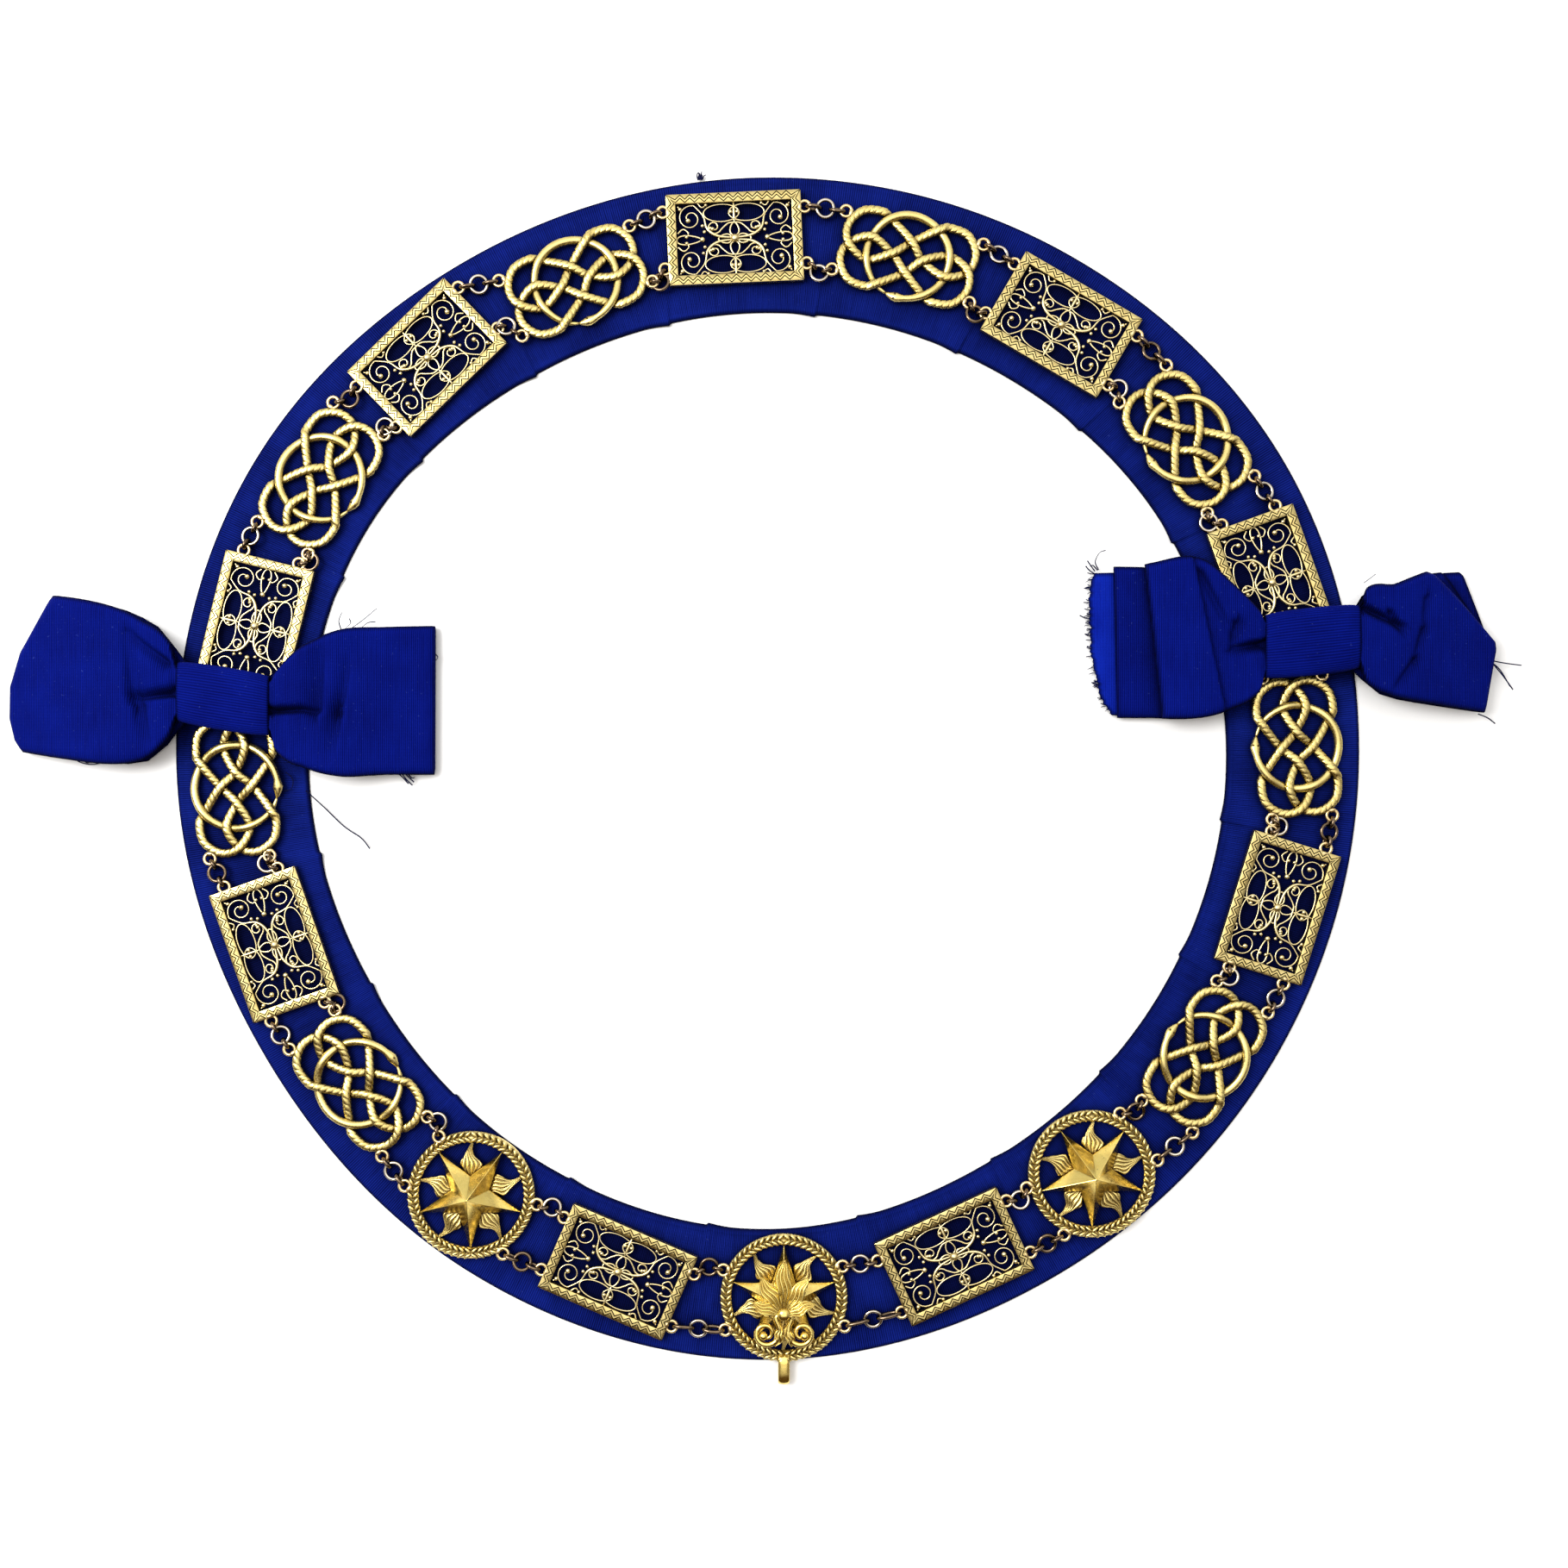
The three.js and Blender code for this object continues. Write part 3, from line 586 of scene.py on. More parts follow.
def wire_eyes(kind):
    """The four eyes of a link: flat loops of wire, each on a small lump of solder at the link's edge."""
    along, across = EDGE_PLACES[kind]
    parts = []
    for end in (-1, 1):
        for side in (-1, 1):
            bpy.ops.mesh.primitive_torus_add(
                location=(end * (along + EYE["stand"]), side * across, EYE["level"]), major_segments=20,
                minor_segments=8, major_radius=EYE["radius"], minor_radius=EYE["wire"])
            parts.append(bpy.context.object)
            bpy.ops.mesh.primitive_uv_sphere_add(
                segments=12, ring_count=8, radius=SOLDER["size"], scale=SOLDER["form"],
                location=(end * (along - SOLDER["inset"]), side * across, EYE["level"]))
            parts.append(bpy.context.object)
    eyes = join_parts(parts, "eyes_" + kind)
    bpy.ops.object.shade_smooth()
    eyes.data.materials.append(solder_gilt)
    return eyes


def snake_place(bearing):
    """A point on the snake's ring, with its height from the crossings that it passes over and under."""
    turn = math.radians(bearing)
    lift = 0.0
    for (start, rise), (end, fall) in zip(SNAKE_WEAVE, SNAKE_WEAVE[1:] + SNAKE_WEAVE[:1]):
        part = ((bearing - start) % 360) / ((end - start) % 360)
        if part < 1:
            lift = rise + (fall - rise) * (0.5 - 0.5 * math.cos(math.pi * part))
    level = LINK_LEVEL + WEAVE_LIFT * lift
    return Vector((SNAKE_RADIUS * math.cos(turn), SNAKE_RADIUS * math.sin(turn), level))


def snake(name, material):
    """A thin body round the ring, thickest behind the head and tapered to the tail's tip."""
    bearings = []
    for (start, *_), (end, *_) in zip(SNAKE_BODY, SNAKE_BODY[1:]):
        pieces = max(2, round((end - start) / SNAKE_STEP))
        bearings += [start + (end - start) * n / pieces for n in range(pieces)]
    bearings.append(SNAKE_BODY[-1][0])

    def section(i):
        bearing = bearings[i]
        for first, second in zip(SNAKE_BODY, SNAKE_BODY[1:]):
            if first[0] <= bearing <= second[0]:
                t = (bearing - first[0]) / (second[0] - first[0])
                wide, high = (first[n] + (second[n] - first[n]) * t for n in (1, 2))
        turns = [k / SNAKE_SIDES * 2 * math.pi for k in range(SNAKE_SIDES)]
        return [(wide * math.cos(turn), high * math.sin(turn)) for turn in turns]

    path = [snake_place(bearing) for bearing in bearings]
    return skin(name, around(path, False, section), material)


knot_parts = []
for turn in (1, -1):
    points = [(turn * a, turn * b, LINK_LEVEL + WEAVE_LIFT * lift) for a, b, lift in ROPE_LOOP]
    knot_parts.append(rope("rope_loop", points, rope_gilt))
knot_parts.append(snake("snake_ring", snake_gilt))
for side in (-1, 1):
    spot = snake_place(SNAKE_EYE["bearing"])
    spot *= 1 + side * SNAKE_EYE["aside"] / SNAKE_RADIUS
    spot.z = LINK_LEVEL + SNAKE_EYE["rise"]
    bpy.ops.mesh.primitive_uv_sphere_add(segments=10, ring_count=6, radius=SNAKE_EYE["size"], location=spot)
    bpy.ops.object.shade_smooth()
    bpy.context.object.data.materials.append(dark_gilt)
    knot_parts.append(bpy.context.object)
knot_parts.append(wire_eyes("knot"))
knot_master = join_parts(knot_parts, "rope_knot")


def lay_copy(master, name, place):
    """A copy of a modelled piece with a mesh of its own, laid at its place."""
    copy = master.copy()
    copy.data = master.data.copy()
    copy.name = name
    copy.data.name = name
    copy.data.transform(place)
    bpy.context.scene.collection.objects.link(copy)
    return copy


def set_link(piece, node):
    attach(piece, "root")
    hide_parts(node)


def lay_links(master, kind, prefix):
    """Copies of a modelled link, one at each of its places in the chain."""
    for node, *_ in LINKS:
        if node.startswith(kind):
            set_link(lay_copy(master, prefix + node, link_place(node)), node)
    bpy.data.objects.remove(master)


lay_links(knot_master, "knot", "rope_")


# Pierced plates: nine gilt frames, each engraved with a double zigzag line and filled with cut scrollwork.
# The scrolls are flat wires that swell and taper, end in small balls and are mirrored both ways.
PLATE = {"long": 0.0515, "wide": 0.0346, "bar": 0.0036, "low": 0.0018, "high": 0.0044, "soft": 0.00022}
ZIGZAG = {"long": 26, "short": 18, "swing": 0.00082, "apart": 0.00046, "half": 0.00024, "depth": 0.00040}
CUT = {"above": 0.0001, "least": 0.00002, "clear": 0.0003}
SCROLL_LEVEL = 0.0032
SCROLL_WIRE = 0.00034
CORNER_STEM = ((0.0010, 0.0004), (0.0066, 0.0012), (0.0104, 0.0040), (0.0118, 0.0090))
CORNER_SCROLL = {"middle": (0.0166, 0.0082), "start": 0.0051, "end": 0.0013, "turns": 1.40}
STEM_LEAVES = ((0.0092, 0.0042), (0.0122, 0.0052), (0.0115, 0.0029))
SIDE_RING = {"middle": (0.0048, 0.0098), "long": 0.0068, "wide": 0.0033, "lift": 0.0002}
INNER_STEM = ((0.0000, 0.0061), (0.0024, 0.0058))
INNER_SCROLL = {"middle": (0.0078, 0.0046), "start": 0.0029, "end": 0.0009, "turns": 1.30}
TENDRILS = (
    ((0.0217, 0.0026), (0.0196, 0.0042), (0.0176, 0.0026), (0.0184, 0.0012)),
    ((0.0136, 0.0139), (0.0122, 0.0122), (0.0106, 0.0131)),
)
TWIG = ((0.0213, 0.0129), (0.0205, 0.0118))
MIDDLE_PETAL = {"root": 0.0012, "tip": 0.0062, "half": 0.0019}
END_PETAL = {"root": 0.0222, "tip": 0.0128, "half": 0.0019}
DROP = {"root": 0.0062, "long": 0.0078, "ball": 0.0102, "aside": 0.0013}

plate_gilt = gilt("plate_gilt", (0.64, 0.52, 0.22), (0.52, 0.36, 0.10), OLD_GILT, 0.6, 0.15)
engraved_gilt = gilt("engraved_gilt", (0.10, 0.058, 0.016), (0.07, 0.040, 0.012),
                     (0.03, 0.016, 0.006), 1.0, 0.2)
scroll_gilt = gilt("scroll_gilt", (0.88, 0.76, 0.43), (0.80, 0.60, 0.23), OLD_GILT, 0.6, 0.15)

bpy.ops.mesh.primitive_plane_add(size=1, location=(0, 0, PLATE["low"]))
plate_frame = bpy.context.object
plate_frame.scale = (PLATE["long"], PLATE["wide"], 1)
bpy.ops.object.transform_apply()
bpy.ops.object.mode_set(mode="EDIT")
bpy.ops.mesh.select_all(action="SELECT")
bpy.ops.mesh.inset(thickness=PLATE["bar"])
bpy.ops.mesh.delete(type="FACE")
bpy.ops.mesh.select_all(action="SELECT")
bpy.ops.mesh.extrude_region_move(TRANSFORM_OT_translate={"value": (0, 0, PLATE["high"] - PLATE["low"])})
bpy.ops.object.mode_set(mode="OBJECT")
face_outwards()
plate_frame.data.materials.append(plate_gilt)


def work(piece, kind, **settings):
    """Adds a modifier to a piece and applies it."""
    pick(piece)
    modifier = piece.modifiers.new("work", kind)
    for key, value in settings.items():
        setattr(modifier, key, value)
    bpy.ops.object.modifier_apply(modifier="work")


work(plate_frame, "BEVEL", width=PLATE["soft"], segments=2, limit_method="ANGLE")


def zigzag_cutter(shift):
    """A closed V-shaped ridge that cuts one line of the zigzag round the frame, set off sideways by shift."""
    half_long = (PLATE["long"] - PLATE["bar"]) / 2
    half_wide = (PLATE["wide"] - PLATE["bar"]) / 2
    corners = [Vector((x * half_long, y * half_wide)) for x, y in ((-1, -1), (1, -1), (1, 1), (-1, 1))]
    outs = []
    for start, end in zip(corners, corners[1:] + corners[:1]):
        along = (end - start).normalized()
        outs.append(Vector((along.y, -along.x)))
    line = []
    for k, count in enumerate((ZIGZAG["long"], ZIGZAG["short"]) * 2):
        start, end = corners[k], corners[(k + 1) % 4]
        line.append(start + (outs[k] + outs[k - 1]) * ZIGZAG["swing"])
        for n in range(1, count):
            line.append(start.lerp(end, n / count) + outs[k] * (ZIGZAG["swing"] * (-1) ** n))
    rows = []
    for k, point in enumerate(line):
        ahead = (line[(k + 1) % len(line)] - point).normalized()
        behind = (point - line[k - 1]).normalized()
        mitre = (ahead + behind).normalized()
        aside = Vector((mitre.y, -mitre.x)) / max(0.4, mitre.dot(ahead))
        row = []
        for reach, level in ((-1, CUT["above"]), (0, -ZIGZAG["depth"]), (1, CUT["above"])):
            flat = point + aside * (shift + reach * ZIGZAG["half"])
            row.append(Vector((flat.x, flat.y, PLATE["high"] + level)))
        rows.append(row)
    return skin("zigzag_cutter", rows, engraved_gilt, loop=True, smooth=False)


for shift in (-ZIGZAG["apart"], ZIGZAG["apart"]):
    cutter = zigzag_cutter(shift)
    work(plate_frame, "BOOLEAN", object=cutter, operation="DIFFERENCE", solver="EXACT")
    bpy.data.objects.remove(cutter)
plate_frame.data.materials.append(engraved_gilt)
for face in plate_frame.data.polygons:
    off_line = max(abs(face.center.x) - (PLATE["long"] - PLATE["bar"]) / 2,
                   abs(face.center.y) - (PLATE["wide"] - PLATE["bar"]) / 2)
    below = PLATE["high"] - face.center.z
    on_bar = abs(off_line) < PLATE["bar"] / 2 - CUT["clear"]
    if on_bar and CUT["least"] < below < ZIGZAG["depth"] + CUT["above"]:
        face.material_index = 1
bpy.ops.object.shade_smooth_by_angle(angle=math.radians(25))


def wire(name, points, thickness, material, closed=False):
    """A round wire along a smooth path: a curve with its own thickness at each point, made a mesh."""
    curve = bpy.data.curves.new(name, "CURVE")
    curve.dimensions = "3D"
    curve.twist_mode = "Z_UP"
    curve.bevel_depth = 1.0
    curve.bevel_resolution = 1
    curve.use_fill_caps = True
    spline = curve.splines.new("POLY")
    spline.points.add(len(points) - 1)
    spline.use_cyclic_u = closed
    for k, point in enumerate(points):
        spline.points[k].co = (*point, 1)
        spline.points[k].radius = thickness(k / (len(points) - 1))
    strand = bpy.data.objects.new(name, curve)
    bpy.context.scene.collection.objects.link(strand)
    pick(strand)
    bpy.ops.object.convert(target="MESH")
    strand = bpy.context.object
    strand.data.materials.clear()
    strand.data.materials.append(material)
    bpy.ops.object.shade_smooth()
    return strand


def ball(place, size, material, flat=0.9):
    """A small ball, a little flattened."""
    bpy.ops.mesh.primitive_uv_sphere_add(
        segments=12, ring_count=8, radius=size, scale=(1, 1, flat), location=place)
    bpy.ops.object.shade_smooth()
    bpy.context.object.data.materials.append(material)
    return bpy.context.object


def spiral(middle, start, end, turns, bearing, hand):
    """Points of a flat spiral that winds in from its outer radius, entered at that bearing in degrees."""
    points = []
    count = round(22 * turns)
    for n in range(count + 1):
        t = n / count
        radius = start + (end - start) * t ** 0.85
        turn = math.radians(bearing) + hand * t * turns * 2 * math.pi
        x, y = middle[0] + radius * math.cos(turn), middle[1] + radius * math.sin(turn)
        points.append((x, y, SCROLL_LEVEL))
    return points


def flat_loop(middle, long, wide, lift):
    """Points of a closed ellipse of wire that lies flat."""
    turns = [n / 36 * 2 * math.pi for n in range(36)]
    return [(middle[0] + long * math.cos(turn), middle[1] + wide * math.sin(turn), SCROLL_LEVEL + lift)
            for turn in turns]


def swelling(thin, thick, where):
    """The thickness of a drawn stroke: thin at its ends and swollen about one place along it."""
    return lambda t: SCROLL_WIRE * (thin + (thick - thin) * math.exp(-((t - where) / 0.13) ** 2))


def stroke(name, places, curl, step, thickness, size):
    """A wire through places at the scroll's level and on into its curl, with a ball at its end."""
    path = smooth_path([(*place, SCROLL_LEVEL) for place in places] + curl[:1], step, False)
    path += [Vector(point) for point in curl[1:]]
    return [wire(name, path, thickness, scroll_gilt), ball(path[-1], size, scroll_gilt)]


def scroll_quarter():
    """One quarter of the scrollwork: a corner scroll on a swelling stem, a ring that laps its mirror image,
    an inner scroll and two tendrils, with their balls and the small leaves on the stem."""
    curl = spiral(bearing=105, hand=-1, **CORNER_SCROLL)
    parts = stroke("corner_scroll", CORNER_STEM, curl, 0.0008, swelling(0.85, 1.9, 0.17), 0.00100)
    for place in STEM_LEAVES:
        parts.append(ball((*place, SCROLL_LEVEL), 0.00070, scroll_gilt))
    ring = flat_loop(**SIDE_RING)
    parts.append(wire("side_ring", ring, lambda t: SCROLL_WIRE * 0.85, scroll_gilt, closed=True))
    curl = spiral(bearing=200, hand=1, **INNER_SCROLL)
    thinning = lambda t: SCROLL_WIRE * (1.15 - 0.30 * t)
    parts += stroke("inner_scroll", INNER_STEM, curl, 0.0008, thinning, 0.00078)
    for places in TENDRILS:
        parts += stroke("tendril", places, [], 0.0007, lambda t: SCROLL_WIRE * (1.1 - 0.3 * t), 0.00072)
    twig = [(*place, SCROLL_LEVEL) for place in TWIG]
    parts.append(ball(twig[-1], 0.00085, scroll_gilt))
    parts.append(wire("twig", twig, lambda t: SCROLL_WIRE * 0.9, scroll_gilt))
    return join_parts(parts, "scroll_quarter")


def petal(root, tip, half, bearing):
    """A closed loop of wire in the shape of a pointed leaf, between two distances from the plate's middle."""
    turn = math.radians(bearing)
    points = []
    for n in range(28):
        t = n / 28 * 2 * math.pi
        out = root + (tip - root) * (0.5 - 0.5 * math.cos(t))
        aside = half * math.sin(t) * (1.15 - 0.55 * (0.5 - 0.5 * math.cos(t)))
        points.append((out * math.cos(turn) - aside * math.sin(turn),
                       out * math.sin(turn) + aside * math.cos(turn), SCROLL_LEVEL))
    return wire("petal", points, lambda t: SCROLL_WIRE * 1.05, scroll_gilt, closed=True)


quarter = scroll_quarter()
plate_parts = [plate_frame, quarter]
for flip in ((-1, 1), (1, -1), (-1, -1)):
    mirrored = lay_copy(quarter, "scroll_quarter", Matrix.Diagonal((*flip, 1, 1)))
    if flip[0] * flip[1] < 0:
        mirrored.data.flip_normals()
    plate_parts.append(mirrored)
for bearing in (0, 90, 180, 270):
    plate_parts.append(petal(bearing=bearing, **MIDDLE_PETAL))
for bearing, side in ((0, 1), (180, -1)):
    plate_parts.append(petal(bearing=bearing, **END_PETAL))
    plate_parts.append(ball((side * 0.0124, 0, SCROLL_LEVEL), 0.00105, scroll_gilt))
plate_parts.append(ball((0, 0, SCROLL_LEVEL + 0.0003), 0.0016, scroll_gilt))
for end in (-1, 1):
    drop = [(0, end * (DROP["root"] + DROP["long"] * n / 8), SCROLL_LEVEL) for n in range(9)]
    swell = lambda t: SCROLL_WIRE * (0.9 + 1.0 * math.sin(math.pi * t))
    plate_parts.append(wire("drop", drop, swell, scroll_gilt))
    for x in (-DROP["aside"], DROP["aside"]):
        plate_parts.append(ball((x, end * DROP["ball"], SCROLL_LEVEL), 0.00082, scroll_gilt))
plate_parts.append(wire_eyes("plate"))
lay_links(join_parts(plate_parts, "pierced_plate"), "plate", "pierced_")


# Star medals: three cast rings of two rows of slanted grains, each round a faceted five-pointed star.
# Five grooved flame leaves lie between the points, and four wire eyes are soldered to the ring. The middle
# medal also carries a raised leaf and a hook below.
MEDAL = {"outer": 0.02425, "inner": 0.0201, "low": 0.0018, "high": 0.0034, "soft": 0.0004, "dip": 0.0003}
MEDAL_STEPS = 72
GRAIN = {"count": 29, "long": 0.00185, "wide": 0.00072, "high": 0.0010, "slant": 38, "apart": 0.00102}
STAR = {"tip": 0.0204, "notch": 0.0076, "low": 0.0022, "tip_top": 0.0044, "notch_top": 0.0054, "apex": 0.0130}
STAR_SOFT = 0.00016
LEAF_ROWS = 36
LEAF_COLUMNS = 31
LEAF_BACK = {"deep": 0.0008, "share": 0.8}
FLAME = {"root": 0.0070, "tip": 0.0202, "wide": 0.0043, "level": 0.0030, "crown": 0.0013, "grooves": 5}
FLAME_SWAY = 0.0006
FLAME_FORM = ((0.0, 0.35), (0.18, 0.72), (0.34, 1.0), (0.46, 0.86), (0.60, 0.50), (0.78, 0.25), (1.0, 0.12))
LOBE_FORM = ((0.0, 0.25), (0.25, 0.75), (0.50, 1.0), (0.75, 0.72), (0.92, 0.35), (1.0, 0.08))
HOOK = {"half": 0.0022, "thick": 0.00075}
HOOK_LINE = ((-0.0212, 0.0036), (-0.0250, 0.0037), (-0.0290, 0.0037), (-0.0312, 0.0036), (-0.0324, 0.0030),
             (-0.0328, 0.0021), (-0.0322, 0.0013), (-0.0308, 0.0009), (-0.0278, 0.0010))
LEAF = {"root": (0.0, -0.0035), "level": 0.0118}
LEAF_LOBES = ((0, 0.0205, 0.0034), (33, 0.0165, 0.0032), (-33, 0.0165, 0.0032),
              (70, 0.0125, 0.0028), (-70, 0.0125, 0.0028))

star_gilt = gilt("star_gilt", (0.93, 0.72, 0.22), (0.82, 0.57, 0.14), OLD_GILT, 0.6, 0.05, 0.6)
grain_gilt = gilt("grain_gilt", (0.84, 0.68, 0.27), (0.74, 0.53, 0.15), OLD_GILT, 1.0, 0.2)
flame_gilt = gilt("flame_gilt", (0.88, 0.70, 0.26), (0.74, 0.51, 0.13), OLD_GILT, 1.5, 0.10)


def medal_ring():
    """The flat back of the ring, on which its grains stand."""
    middle = (MEDAL["outer"] + MEDAL["inner"]) / 2
    half = (MEDAL["outer"] - MEDAL["inner"]) / 2
    high, soft = MEDAL["high"], MEDAL["soft"]
    profile = ((-half, MEDAL["low"]), (half, MEDAL["low"]), (half, high - soft), (half - soft, high),
               (0, high - MEDAL["dip"]), (-half + soft, high), (-half, high - soft))
    rows = []
    for n in range(MEDAL_STEPS):
        turn = n / MEDAL_STEPS * 2 * math.pi
        rows.append([Vector(((middle + reach) * math.cos(turn), (middle + reach) * math.sin(turn), level))
                     for reach, level in profile])
    return skin("medal_ring", rows, grain_gilt, loop=True, smooth=False)


def medal_grains():
    """Two rows of grains that lean in towards the bar's middle, running down both sides from the top."""
    bpy.ops.mesh.primitive_ico_sphere_add(subdivisions=2, radius=1)
    seed = bpy.context.object
    middle = (MEDAL["outer"] + MEDAL["inner"]) / 2
    grains = bmesh.new()
    for side in (-1, 1):
        for n in range(GRAIN["count"]):
            turn = math.radians(90) + side * math.pi * (n + 0.5) / GRAIN["count"]
            for row in (-1, 1):
                radius = middle + row * GRAIN["apart"]
                spot = Matrix.Translation((radius * math.cos(turn), radius * math.sin(turn), MEDAL["high"]))
                heading = turn + side * math.pi / 2 + side * row * math.radians(GRAIN["slant"])
                lean = Matrix.Rotation(heading, 4, "Z")
                size = Matrix.Diagonal((GRAIN["long"], GRAIN["wide"], GRAIN["high"], 1))
                seed_mesh = seed.data.copy()
                seed_mesh.transform(spot @ lean @ size)
                grains.from_mesh(seed_mesh)
                bpy.data.meshes.remove(seed_mesh)
    bpy.data.objects.remove(seed)
    mesh = bpy.data.meshes.new("medal_grains")
    grains.to_mesh(mesh)
    grains.free()
    mesh.materials.append(grain_gilt)
    mesh.shade_smooth()
    piece = bpy.data.objects.new("medal_grains", mesh)
    bpy.context.scene.collection.objects.link(piece)
    return piece


def faceted_star(bearing):
    """A five-pointed pyramid star: a ten-sided cone whose every other corner is drawn in to a notch."""
    bpy.ops.mesh.primitive_cone_add(
        vertices=10, radius1=STAR["tip"], radius2=0, depth=STAR["apex"] - STAR["low"],
        location=(0, 0, (STAR["apex"] + STAR["low"]) / 2))
    star = bpy.context.object
    bpy.ops.object.transform_apply()
    for vertex in star.data.vertices:
        if vertex.co.xy.length > 0.001:
            turn = math.degrees(math.atan2(vertex.co.y, vertex.co.x))
            step = round((turn - 90) / 36) % 10
            corner = "tip" if step % 2 == 0 else "notch"
            place = math.radians(bearing + step * 36)
            vertex.co.xy = (STAR[corner] * math.cos(place), STAR[corner] * math.sin(place))
            vertex.co.z = STAR[corner + "_top"]
    bpy.ops.object.mode_set(mode="EDIT")
    bpy.ops.mesh.select_all(action="DESELECT")
    bpy.ops.object.mode_set(mode="OBJECT")
    for face in star.data.polygons:
        face.select = face.normal.z < -0.9
    bpy.ops.object.mode_set(mode="EDIT")
    bpy.ops.mesh.extrude_region_move(TRANSFORM_OT_translate={"value": (0, 0, -0.001)})
    bpy.ops.object.mode_set(mode="OBJECT")
    for vertex in star.data.vertices:
        if vertex.select:
            vertex.co.z = STAR["low"]
    face_outwards()
    work(star, "BEVEL", width=STAR_SOFT, segments=2, limit_method="ANGLE", angle_limit=math.radians(20))
    bpy.ops.object.shade_smooth_by_angle(angle=math.radians(18))
    star.data.materials.append(star_gilt)
    return star


def table_at(table, place):
    """The rest of a table's row at a place between two of its rows, on a curve through the rows around it."""
    last = len(table) - 1
    k = next((n for n in range(last) if place <= table[n + 1][0]), last - 1)
    rows = [table[min(max(k + shift, 0), last)] for shift in (-1, 0, 1, 2)]
    span = rows[2][0] - rows[1][0]
    t = min(1.0, max(0.0, (place - rows[1][0]) / span))
    values = []
    for column in range(1, len(table[0])):
        a, b, c, d = (row[column] for row in rows)
        start = (c - a) / (rows[2][0] - rows[0][0]) * span
        end = (d - b) / (rows[3][0] - rows[1][0]) * span
        values.append(b + t * (start + t * (3 * (c - b) - 2 * start - end + t * (2 * (b - c) + start + end))))
    return values


def grooved_leaf(name, root, tip, wide, form, level, crown, grooves, sway, material):
    """A leaf along +Y whose half width follows the form. It sways a little, and its grooves are wavy."""
    rows = []
    for i in range(LEAF_ROWS):
        t = i / (LEAF_ROWS - 1)
        body = table_at(form, t)[0]
        half = wide * body
        middle = sway * math.sin(2 * math.pi * t * 1.15)
        y = root + (tip - root) * t
        row = []
        for j in range(LEAF_COLUMNS):
            v = 2 * j / (LEAF_COLUMNS - 1) - 1
            wave = grooves * (v + 1) / 2 + 0.30 * math.sin(2 * math.pi * t * 1.7)
            ridge = abs(math.sin(math.pi * wave)) ** 0.6
            rise = crown * ((1 - v * v) ** 0.5 * 0.5 + 0.70 * ridge * max(0.3, body))
            row.append(Vector((middle + half * v, y, level + rise)))
        for v in (LEAF_BACK["share"], -LEAF_BACK["share"]):
            row.append(Vector((middle + half * v, y, level - LEAF_BACK["deep"])))
        rows.append(row)
    return skin(name, rows, material)


def turned(piece, bearing, place=(0, 0, 0)):
    piece.data.transform(Matrix.Translation(place) @ Matrix.Rotation(math.radians(bearing), 4, "Z"))
    return piece


def medal_body(bearing):
    """One medal about its own middle, its star's first point at that bearing."""
    parts = [medal_ring(), medal_grains(), faceted_star(bearing)]
    for n in range(5):
        sway = FLAME_SWAY * (-1) ** n
        leaf = grooved_leaf("flame", form=FLAME_FORM, sway=sway, material=flame_gilt, **FLAME)
        parts.append(turned(leaf, bearing - 90 + 36 + 72 * n))
    return parts


def leaf_ornament():
    """A raised palmette over the middle star: five lobes that open upward and a pair of volutes below."""
    level = LEAF["level"]
    root = LEAF["root"]
    parts = []
    for bearing, length, wide in LEAF_LOBES:
        lobe = grooved_leaf("lobe", 0.0008, length, wide, LOBE_FORM, level, 0.0016, 4, 0.0003, star_gilt)
        parts.append(turned(lobe, -bearing, (*root, 0)))
    for side in (-1, 1):
        curl = spiral((side * 0.0068, root[1] - 0.0072), 0.0055, 0.0014, 1.45, 90 + side * 62, side)
        stem = [(root[0] + side * 0.0006, root[1], level), (side * 0.0030, root[1] - 0.0012, level)]
        path = smooth_path(stem + [(*curl[0][:2], level)], 0.0008, False)
        path += [Vector((x, y, level)) for x, y, _ in curl[1:]]
        parts.append(wire("volute", path, lambda t: 0.0013 - 0.0006 * t, star_gilt))
        parts.append(ball(path[-1], 0.0017, star_gilt))
        frond = grooved_leaf("frond", 0.0006, 0.0085, 0.0019, LOBE_FORM, level - 0.0002, 0.0012, 3, 0.0003,
                             star_gilt)
        parts.append(turned(frond, 180 + side * 16, (side * 0.0008, root[1] - 0.0040, 0)))
    parts.append(ball((*root, level + 0.0010), 0.0026, star_gilt, 0.6))
    return parts


def hook_bar():
    """The strip below the middle medal, bent down and back into a hook from which a jewel hangs."""
    rows = []
    for k, (y, z) in enumerate(HOOK_LINE):
        ahead = Vector(HOOK_LINE[min(k + 1, len(HOOK_LINE) - 1)])
        behind = Vector(HOOK_LINE[max(k - 1, 0)])
        line = (ahead - behind).normalized()
        row = []
        for n in range(16):
            turn = n / 16 * 2 * math.pi
            rise = HOOK["thick"] * math.sin(turn)
            row.append(Vector((HOOK["half"] * math.cos(turn), y + line.y * rise, z - line.x * rise)))
        rows.append(row)
    return skin("hook", rows, star_gilt)


for node, first_point in (("star_09", -90), ("star_11", 90), ("star_13", -90)):
    parts = medal_body(first_point)
    if node == "star_11":
        parts += leaf_ornament() + [hook_bar()]
    body = join_parts(parts, "medal_" + node)
    place = link_place(node)
    body.data.transform(Matrix.Translation(place.translation))
    eyes = wire_eyes("star")
    eyes.data.transform(place)
    set_link(join_parts([body, eyes], "medal_" + node), node)
